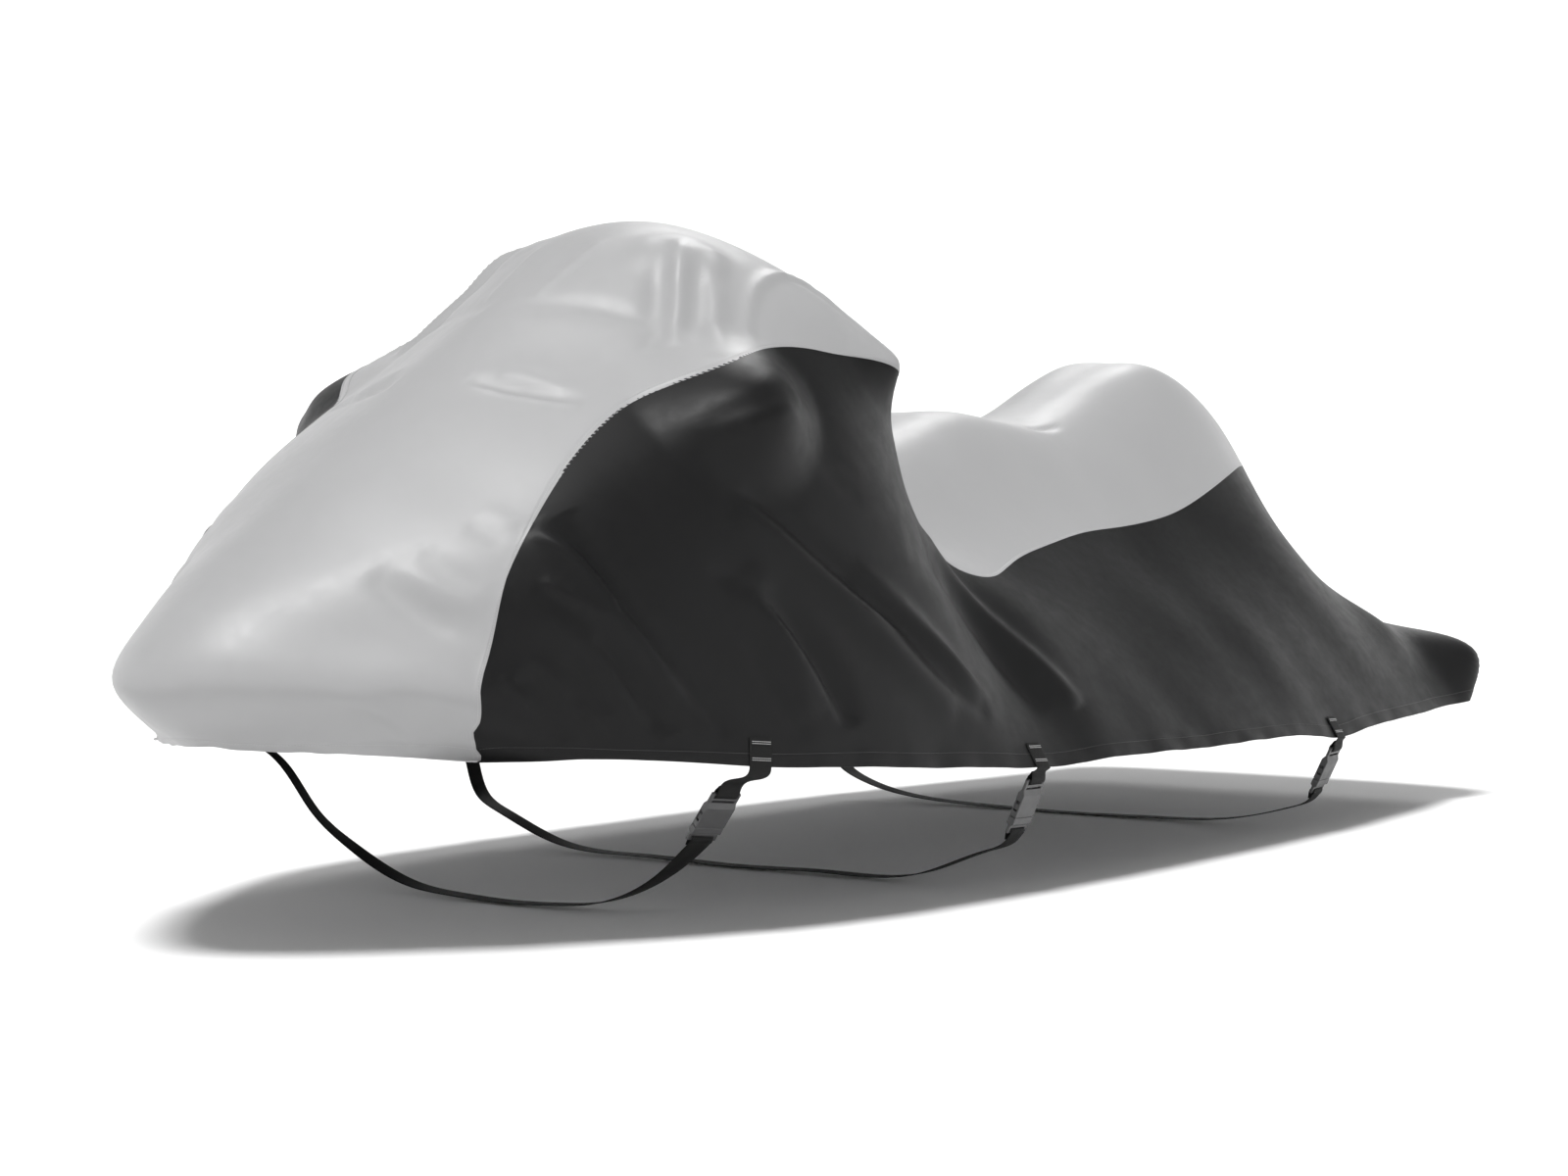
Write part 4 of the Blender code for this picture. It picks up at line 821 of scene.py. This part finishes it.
# ---- materials ----
def new_finish(name, colour, roughness, **settings):
    """A material with one Principled shader, and a helper that adds nodes to it."""
    material = bpy.data.materials.new(name)
    material.use_nodes = True
    tree = material.node_tree
    shader = tree.nodes["Principled BSDF"]
    shader.inputs["Base Color"].default_value = (*colour, 1.0)
    shader.inputs["Roughness"].default_value = roughness
    for key, value in settings.items():
        shader.inputs[key.replace("_", " ")].default_value = value

    def node(kind, values=(), **attributes):
        made = tree.nodes.new(kind)
        for key, value in attributes.items():
            setattr(made, key, value)
        for socket, value in dict(values).items():
            if isinstance(value, bpy.types.NodeSocket):
                tree.links.new(value, made.inputs[socket])
            else:
                made.inputs[socket].default_value = value
        return made

    def link(source, target):
        tree.links.new(source, shader.inputs[target])

    return material, node, link


def two_tone(node, factor, low, high):
    """A mix of two colours by a factor."""
    mix = node("ShaderNodeMix", {6: (*low, 1.0), 7: (*high, 1.0), 0: factor}, data_type="RGBA")
    return mix.outputs[2]


def scaled(colour, factor):
    """A colour lightened or darkened, each channel at most 1."""
    return tuple(min(1.0, channel * factor) for channel in colour)


def noise(node, scale, detail, roughness=0.5):
    """Noise in the piece's own space."""
    place = node("ShaderNodeTexCoord").outputs["Object"]
    values = {"Vector": place, "Scale": scale, "Detail": detail, "Roughness": roughness}
    return node("ShaderNodeTexNoise", values).outputs[0]


def combined(node, operation, one, other):
    """Two factors added or multiplied."""
    return node("ShaderNodeMath", {0: one, 1: other}, operation=operation).outputs[0]


def spread(node, factor, start, end, low, high):
    """A factor between start and end, spread from low to high."""
    values = {"Value": factor, "From Min": start, "From Max": end, "To Min": low, "To Max": high}
    return node("ShaderNodeMapRange", values).outputs[0]


def bump(node, height, strength, distance, **under):
    """A relief of a height, on top of another one if it is given as Normal."""
    values = {"Height": height, "Strength": strength, "Distance": distance, **under}
    return node("ShaderNodeBump", values).outputs[0]


def bands(node, angle, period, **settings):
    """Bands across the flat coordinates, turned by an angle and a period apart."""
    uv = node("ShaderNodeUVMap", uv_map="flat").outputs[0]
    turned = node("ShaderNodeMapping", {"Vector": uv, "Rotation": (0, 0, angle)}).outputs[0]
    values = {"Vector": turned, "Scale": math.pi / 10 / period, **settings}
    return node("ShaderNodeTexWave", values).outputs["Fac"]


def yarns(node, angle, period):
    """Slightly uneven bands, a yarn's width apart."""
    return bands(node, angle, period, Distortion=0.6, Detail=1.0, **{"Detail Scale": 0.5})


def cloth_finish(name, colour, shade, roughness, specular, yarn):
    """Coated plain-weave cloth: yarns both ways, soft patches of sheen, and faint handling marks."""
    material, node, link = new_finish(name, colour, roughness, Specular_IOR_Level=specular)
    patches = combined(node, "MULTIPLY", noise(node, 2.6, 3.0), 0.75)
    marks_map = noise(node, 38.0, 5.0, 0.62)
    fine = combined(node, "MULTIPLY", marks_map, 0.25)
    dark = scaled(colour, shade)
    link(two_tone(node, combined(node, "ADD", patches, fine), dark, colour), "Base Color")
    link(spread(node, marks_map, 0.3, 0.7, roughness - 0.04, roughness + 0.05), "Roughness")
    cross = combined(node, "MULTIPLY", yarns(node, 0, yarn), yarns(node, math.pi / 2, yarn))
    weave = bump(node, cross, 0.20, 0.00012)
    link(bump(node, marks_map, 0.10, 0.0012, Normal=weave), "Normal")
    return material


def web_finish(name, colour):
    """Woven webbing: ribs across it and a finer twill within them."""
    material, node, link = new_finish(name, colour, 0.62, Specular_IOR_Level=0.15)
    ribs = yarns(node, math.pi / 2, 0.0021)
    both = combined(node, "MULTIPLY", ribs, bands(node, math.radians(38), 0.0032))
    link(two_tone(node, both, colour, scaled(colour, 1.9)), "Base Color")
    link(bump(node, both, 0.55, 0.0005), "Normal")
    return material


def plastic_finish(name, colour):
    """Moulded plastic: a fine spark-eroded grain, with lighter and rougher rubbed patches spread at random.
    """
    material, node, link = new_finish(name, colour, 0.36, Specular_IOR_Level=0.55)
    rubbed = noise(node, 55.0, 4.0)
    link(two_tone(node, rubbed, colour, scaled(colour, 1.35)), "Base Color")
    link(spread(node, rubbed, 0.35, 0.65, 0.28, 0.46), "Roughness")
    link(bump(node, noise(node, 900.0, 2.0), 0.25, 0.0002), "Normal")
    return material


def thread_finish(name, colour):
    """Bonded sewing thread."""
    material, node, link = new_finish(name, colour, 0.5, Sheen_Weight=0.3)
    link(two_tone(node, noise(node, 700.0, 2.0), colour, scaled(colour, 1.4)), "Base Color")
    return material


def floor_finish(name, colour):
    """Matt studio paper, very slightly uneven."""
    material, node, link = new_finish(name, colour, 0.85)
    link(two_tone(node, noise(node, 0.6, 2.0), scaled(colour, 0.985), colour), "Base Color")
    return material


# ---- sizes and colours that a user may change ----
def length_setting(name, description, default, low, high):
    """A length that a user may change."""
    return FloatProperty(name=name, description=description, default=default, min=low, max=high,
                         unit="LENGTH")


def colour_setting(name, description, default):
    """A colour that a user may change."""
    return FloatVectorProperty(name=name, description=description, default=default, subtype="COLOR",
                               size=3, min=0.0, max=1.0)


def strength_setting(name, description, default, highest=50.0):
    """A strength of light that a user may change."""
    return FloatProperty(name=name, description=description, default=default, min=0.0, max=highest)


class CoverClothSettings(bpy.types.PropertyGroup):
    """Sizes and colours of the three cloth panels."""
    thickness: length_setting("Thickness", "Thickness of the coated cloth", 0.0010, 0.0004, 0.002)
    hem_thickness: length_setting("Hem thickness", "Thickness of the turned-up hem",
                                  0.0018, 0.0006, 0.003)
    lap_rise: length_setting("Seam lap", "How far the turned edge stands out along the seam",
                             0.0007, 0.0, 0.002)
    yarn: length_setting("Yarn pitch", "Distance between neighbouring yarns", 0.0009, 0.0003, 0.003)
    along: IntProperty(name="Faces along", description="Faces along each panel", default=300, min=60, max=340)
    silver: colour_setting("Silver cloth", "Colour of the top panel", (0.37, 0.37, 0.374))
    black: colour_setting("Black cloth", "Colour of the side panels", (0.013, 0.013, 0.0133))


class CoverThreadSettings(bpy.types.PropertyGroup):
    """Sizes of the stitching."""
    pitch: length_setting("Stitch pitch", "Length of a stitch with the gap after it", 0.0042, 0.002, 0.01)
    gap: length_setting("Gap", "Gap between two stitches", 0.0010, 0.0002, 0.003)
    radius: length_setting("Thread radius", "Half the thread's thickness", 0.00035, 0.0001, 0.001)
    inset: length_setting("Inset", "Distance of the stitching from the seam's edge", 0.0045, 0.002, 0.009)
    tack: colour_setting("Tack thread", "Colour of the bar tacks on the webs", (0.30, 0.30, 0.30))


class CoverStrapSettings(bpy.types.PropertyGroup):
    """Colours of the webs and buckles."""
    web: colour_setting("Webbing", "Colour of the woven webs", (0.009, 0.009, 0.009))
    buckle: colour_setting("Buckle", "Colour of the moulded buckles", (0.055, 0.055, 0.056))


class CoverStageSettings(bpy.types.PropertyGroup):
    """Floor and lights."""
    floor: colour_setting("Floor", "Colour of the studio floor", (0.90, 0.90, 0.90))
    key: strength_setting("Key light", "Strength of the soft light high over the bow", 3.2)
    fill: strength_setting("Fill light", "Strength of the low soft light ahead of the bow", 0.6)
    rim: strength_setting("Rim light", "Strength of the light behind the stern", 0.7)
    softness: FloatProperty(name="Softness", description="Angle that each light is spread over",
                            default=math.radians(18), min=0.0, max=math.pi, subtype="ANGLE")
    ambient: strength_setting("Ambient", "Strength of the white surroundings", 0.20, 5.0)


# ---- the operators: one for each piece or group of like pieces ----
SILVER_FINISH = (0.86, 0.42, 0.30)      # shade of the darker patches, roughness, specular level
BLACK_FINISH = (0.75, 0.42, 0.12)
SILVER_THREAD = 0.9        # the thread's colour as a share of its cloth's
BLACK_THREAD = 1.3
STORE = {}                 # the panels' points and normals, for the stitching
MADE_FINISHES = {}


def finish_of(name, make, *values):
    """A named finish, made once.  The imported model's own materials have other names."""
    if name not in MADE_FINISHES:
        MADE_FINISHES[name] = make(name, *values)
    return MADE_FINISHES[name]


def add_panel(name, uv, seam_edges, hem_edge, lap, material, flipped=False):
    """One cloth panel: an outer and an inner skin a cloth's thickness apart, thicker at the hem."""
    settings = bpy.context.scene.cover_cloth
    points, out, flat_uv, to_hem = cloth(uv, seam_edges, hem_edge, lap)
    thick = np.where(to_hem < HEM_DEPTH + 1e-4, settings.hem_thickness, settings.thickness)
    thing = piece(f"cloth_{name}", wall(name, points, out, thick, flat_uv, flipped), material,
                  (f"panel_{name}",))
    STORE[name] = (points, out)
    return thing


class COVER_OT_silver_panel(bpy.types.Operator):
    """The silver top panel, from the bow hem to the middle of the seat back"""
    bl_idname = "cover.silver_panel"
    bl_label = "Silver panel"

    def execute(self, context):
        settings = context.scene.cover_cloth
        colour = tuple(settings.silver)
        material = finish_of("coated_silver_cloth", cloth_finish, colour, *SILVER_FINISH, settings.yarn)
        uv = silver_grid(SILVER_ACROSS, settings.along)
        add_panel("silver", uv, ((0, 0), (0, -1), (1, -1)), (1, 0), settings.lap_rise, material)
        return {"FINISHED"}


class COVER_OT_side_panels(bpy.types.Operator):
    """The black panels of both sides, from the seam down to the hem and round the stern"""
    bl_idname = "cover.side_panels"
    bl_label = "Side panels"

    def execute(self, context):
        settings = context.scene.cover_cloth
        colour = tuple(settings.black)
        material = finish_of("coated_black_cloth", cloth_finish, colour, *BLACK_FINISH, settings.yarn)
        uv = port_grid(settings.along, SIDE_DOWN)
        edges = ((0, 0), (0, -1), (1, 0))
        for name, side in (("black_port", 1), ("black_starboard", -1)):
            add_panel(name, uv * (1, side), edges, (1, -1), 0.0, material,
                      flipped=side < 0)
        return {"FINISHED"}


class COVER_OT_stitching(bpy.types.Operator):
    """The lines of stitches along the seams and the hem"""
    bl_idname = "cover.stitching"
    bl_label = "Stitching"

    def execute(self, context):
        settings = context.scene.cover_thread
        sizes = (settings.pitch, settings.gap, settings.radius)
        in_hem = HEM_DEPTH - STITCH_INSET
        silver, port, starboard = STORE["silver"], STORE["black_port"], STORE["black_starboard"]
        seam = [inset_line(*silver, axis, end, settings.inset) for axis, end in ((0, 0), (0, -1), (1, -1))]
        seam.append(inset_line(*silver, 1, 0, in_hem))
        rings = [stitch_rings(line, *sizes, SEAM_TRIM) for line in seam]
        colour = scaled(context.scene.cover_cloth.silver, SILVER_THREAD)
        piece("stitches_silver", thread_mesh("stitches_silver", rings),
              finish_of("silver_thread", thread_finish, colour))
        hems = [inset_line(*panel, 1, -1, in_hem) for panel in (port, starboard)]
        rings = [stitch_rings(line, *sizes, HEM_TRIM) for line in hems]
        colour = scaled(context.scene.cover_cloth.black, BLACK_THREAD)
        piece("stitches_black", thread_mesh("stitches_black", rings),
              finish_of("black_thread", thread_finish, colour))
        return {"FINISHED"}


def tack_lines(middles, sides, out, places):
    """Lines across a web's sewn end, a little apart, for its bar tacks."""
    values = np.concatenate([running_length(middles)[:, None], middles, out, sides], axis=1)
    reach = TACK_SPAN[:, None] * WEB_WIDTH
    lines = []
    for centre, up, side in along(values, places).reshape(-1, 3, 3):
        line = centre + side * reach + up * WEB_THICK / 2
        ups = np.tile(up, (len(line), 1))
        lines.append(np.concatenate([running_length(line)[:, None], line, ups], axis=1))
    return lines


class COVER_OT_straps(bpy.types.Operator):
    """The webs of the three belly straps with their bar tacks"""
    bl_idname = "cover.straps"
    bl_label = "Belly straps"

    def execute(self, context):
        settings = context.scene.cover_straps
        material = finish_of("ribbed_webbing", web_finish, tuple(settings.web))
        thread = finish_of("tack_thread", thread_finish, tuple(context.scene.cover_thread.tack))
        port = bpy.data.objects["cloth_black_port"].data
        corners = [vertex.co.copy() for vertex in port.vertices]
        tree = BVHTree.FromPolygons(corners, [tuple(face.vertices) for face in port.polygons])
        for strap in STRAPS:
            name = strap[0]
            upper, long_web, _ = strap_paths(strap, tree)
            bunches = []
            for kind, (middles, sides), turned in (("upper", upper, False), ("long", long_web, True)):
                mesh, out = web_mesh(f"{kind}_{name}", middles, sides)
                piece(f"strap_{kind}_{name}", mesh, material, (f"web_{kind}_{name}",))
                total = running_length(middles)[-1]
                places = total - TACKS if turned else TACKS
                for line in tack_lines(middles, sides, out, places):
                    bunches.append(stitch_rings(line, *TACK_THREAD, 0.0))
            piece(f"tacks_{name}", thread_mesh(f"tacks_{name}", bunches), thread)
        return {"FINISHED"}


class COVER_OT_buckles(bpy.types.Operator):
    """The finish of the moulded buckles"""
    bl_idname = "cover.buckles"
    bl_label = "Buckles"

    def execute(self, context):
        material = finish_of("moulded_buckle", plastic_finish, tuple(context.scene.cover_straps.buckle))
        for name, node in frame["nodes"].items():
            if name.startswith("buckle_"):
                node.data.materials.clear()
                node.data.materials.append(material)
        return {"FINISHED"}


class COVER_OT_stage(bpy.types.Operator):
    """A pale floor that curves up far away, soft lights and the camera"""
    bl_idname = "cover.stage"
    bl_label = "Stage"

    def execute(self, context):
        settings = context.scene.cover_stage
        floor_z = min(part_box(f"web_long_{strap[0]}")[0].z for strap in STRAPS) - FLOOR_GAP
        add_floor(floor_z, finish_of("studio_floor", floor_finish, tuple(settings.floor)))
        for name, place in LIGHTS.items():
            add_light(name, np.array(place), settings.softness, getattr(settings, name))
        world = context.scene.world or bpy.data.worlds.new("studio")
        context.scene.world = world
        world.use_nodes = True
        background = world.node_tree.nodes["Background"]
        background.inputs["Color"].default_value = (1.0, 1.0, 1.0, 1.0)
        background.inputs["Strength"].default_value = settings.ambient
        add_camera()
        context.scene.view_settings.view_transform = "Standard"
        return {"FINISHED"}


FLAT_FLOOR = 12.0          # radius of the flat floor
FLOOR_REACH = 25.0         # where it ends
FLOOR_CURVE = 0.06         # how fast it rises past the flat
FLOOR_GAP = 0.0005         # between the lowest web and the floor


def add_floor(floor_z, material):
    """A disc of paper, flat under the cover and curving up far away on all sides.

    Its height over the floor at a distance r is FLOOR_CURVE (r - FLAT_FLOOR)^2 past FLAT_FLOOR.
    """
    rise = np.linspace(FLAT_FLOOR + 0.5, FLOOR_REACH, 24)
    r = np.concatenate([[0.001], np.linspace(0.5, FLAT_FLOOR, 20), rise])
    turn = np.linspace(0, 2 * np.pi, 97)[:-1]
    height = FLOOR_CURVE * np.clip(r - FLAT_FLOOR, 0, None) ** 2
    x = r[:, None] * np.cos(turn)
    y = r[:, None] * np.sin(turn)
    points = np.stack([x, y, np.broadcast_to((floor_z + height)[:, None], x.shape)], axis=-1)
    quads = grid_quads(len(r), len(turn), closed=True)[:, ::-1]
    mesh = mesh_of("studio_floor", points.reshape(-1, 3) + DATUM, quads)
    floor = bpy.data.objects.new("studio_floor", mesh)
    mesh.materials.append(material)
    bpy.context.scene.collection.objects.link(floor)


def look_matrix(place, aim):
    """The turn that points an object's own -Z from a place to its aim, with +Y up."""
    return Vector(aim - place).to_track_quat("-Z", "Y").to_matrix().to_4x4()


def add_light(name, place, angle, power):
    """A far soft light that shines from a place to the craft datum, spread over an angle."""
    light = bpy.data.lights.new(name, "SUN")
    light.angle = angle
    light.energy = power
    thing = bpy.data.objects.new(name, light)
    thing.matrix_world = Matrix.Translation(Vector(place - DATUM)) @ look_matrix(place, np.zeros(3))
    bpy.context.scene.collection.objects.link(thing)


LIGHTS = {                              # each one's place, in the craft datum
    "key": (1.2, 0.2, 4.6),
    "fill": (4.5, 1.2, 1.6),
    "rim": (-3.6, -2.0, 3.4),
}
EYE = np.array([4.659, 3.315, 0.466])   # the camera, in the craft datum
EYE_TURN = 0.940                        # between its line of sight and the craft's beam, radians
EYE_DIP = 0.035                         # below the level, radians
LENS = 75.0                             # mm
SENSOR = 36.0                           # its sensor's width, mm


def add_camera():
    """A camera off the port bow, a little above the hem's level."""
    ahead = np.array([-math.sin(EYE_TURN) * math.cos(EYE_DIP), -math.cos(EYE_TURN) * math.cos(EYE_DIP),
                      -math.sin(EYE_DIP)])
    camera = bpy.data.cameras.new("camera")
    camera.lens = LENS
    camera.sensor_width = SENSOR
    thing = bpy.data.objects.new("camera", camera)
    thing.matrix_world = Matrix.Translation(Vector(EYE - DATUM)) @ look_matrix(EYE, EYE + ahead)
    bpy.context.scene.collection.objects.link(thing)
    bpy.context.scene.camera = thing


class COVER_PT_sidebar(bpy.types.Panel):
    """The cover's pieces, with their sizes and colours"""
    bl_label = "Watercraft cover"
    bl_idname = "COVER_PT_sidebar"
    bl_space_type = "VIEW_3D"
    bl_region_type = "UI"
    bl_category = "Cover"

    def draw(self, context):
        for operator in OPERATORS:
            self.layout.operator(operator.bl_idname)
        for group in SETTINGS:
            box = self.layout.box()
            settings = getattr(context.scene, group)
            for name in settings.bl_rna.properties.keys():
                if name not in ("rna_type", "name"):
                    box.prop(settings, name)


SILVER_ACROSS = 110        # faces across the silver panel
SIDE_DOWN = 92             # faces from the seam down a side panel

OPERATORS = (COVER_OT_silver_panel, COVER_OT_side_panels, COVER_OT_stitching, COVER_OT_straps,
             COVER_OT_buckles, COVER_OT_stage)
SETTINGS = {
    "cover_cloth": CoverClothSettings,
    "cover_thread": CoverThreadSettings,
    "cover_straps": CoverStrapSettings,
    "cover_stage": CoverStageSettings,
}


def register():
    """Register the settings, the operators and the panel."""
    for group in (*SETTINGS.values(), *OPERATORS, COVER_PT_sidebar):
        bpy.utils.register_class(group)
    for name, group in SETTINGS.items():
        setattr(bpy.types.Scene, name, PointerProperty(type=group))


def unregister():
    """Take them away again."""
    for name in SETTINGS:
        delattr(bpy.types.Scene, name)
    for group in (COVER_PT_sidebar, *OPERATORS, *SETTINGS.values()):
        bpy.utils.unregister_class(group)


def main():
    """Dress the solids."""
    register()
    bpy.ops.cover.silver_panel()
    bpy.ops.cover.side_panels()
    bpy.ops.cover.stitching()
    bpy.ops.cover.straps()
    bpy.ops.cover.buckles()
    bpy.ops.cover.stage()


if __name__ == "__main__":
    main()
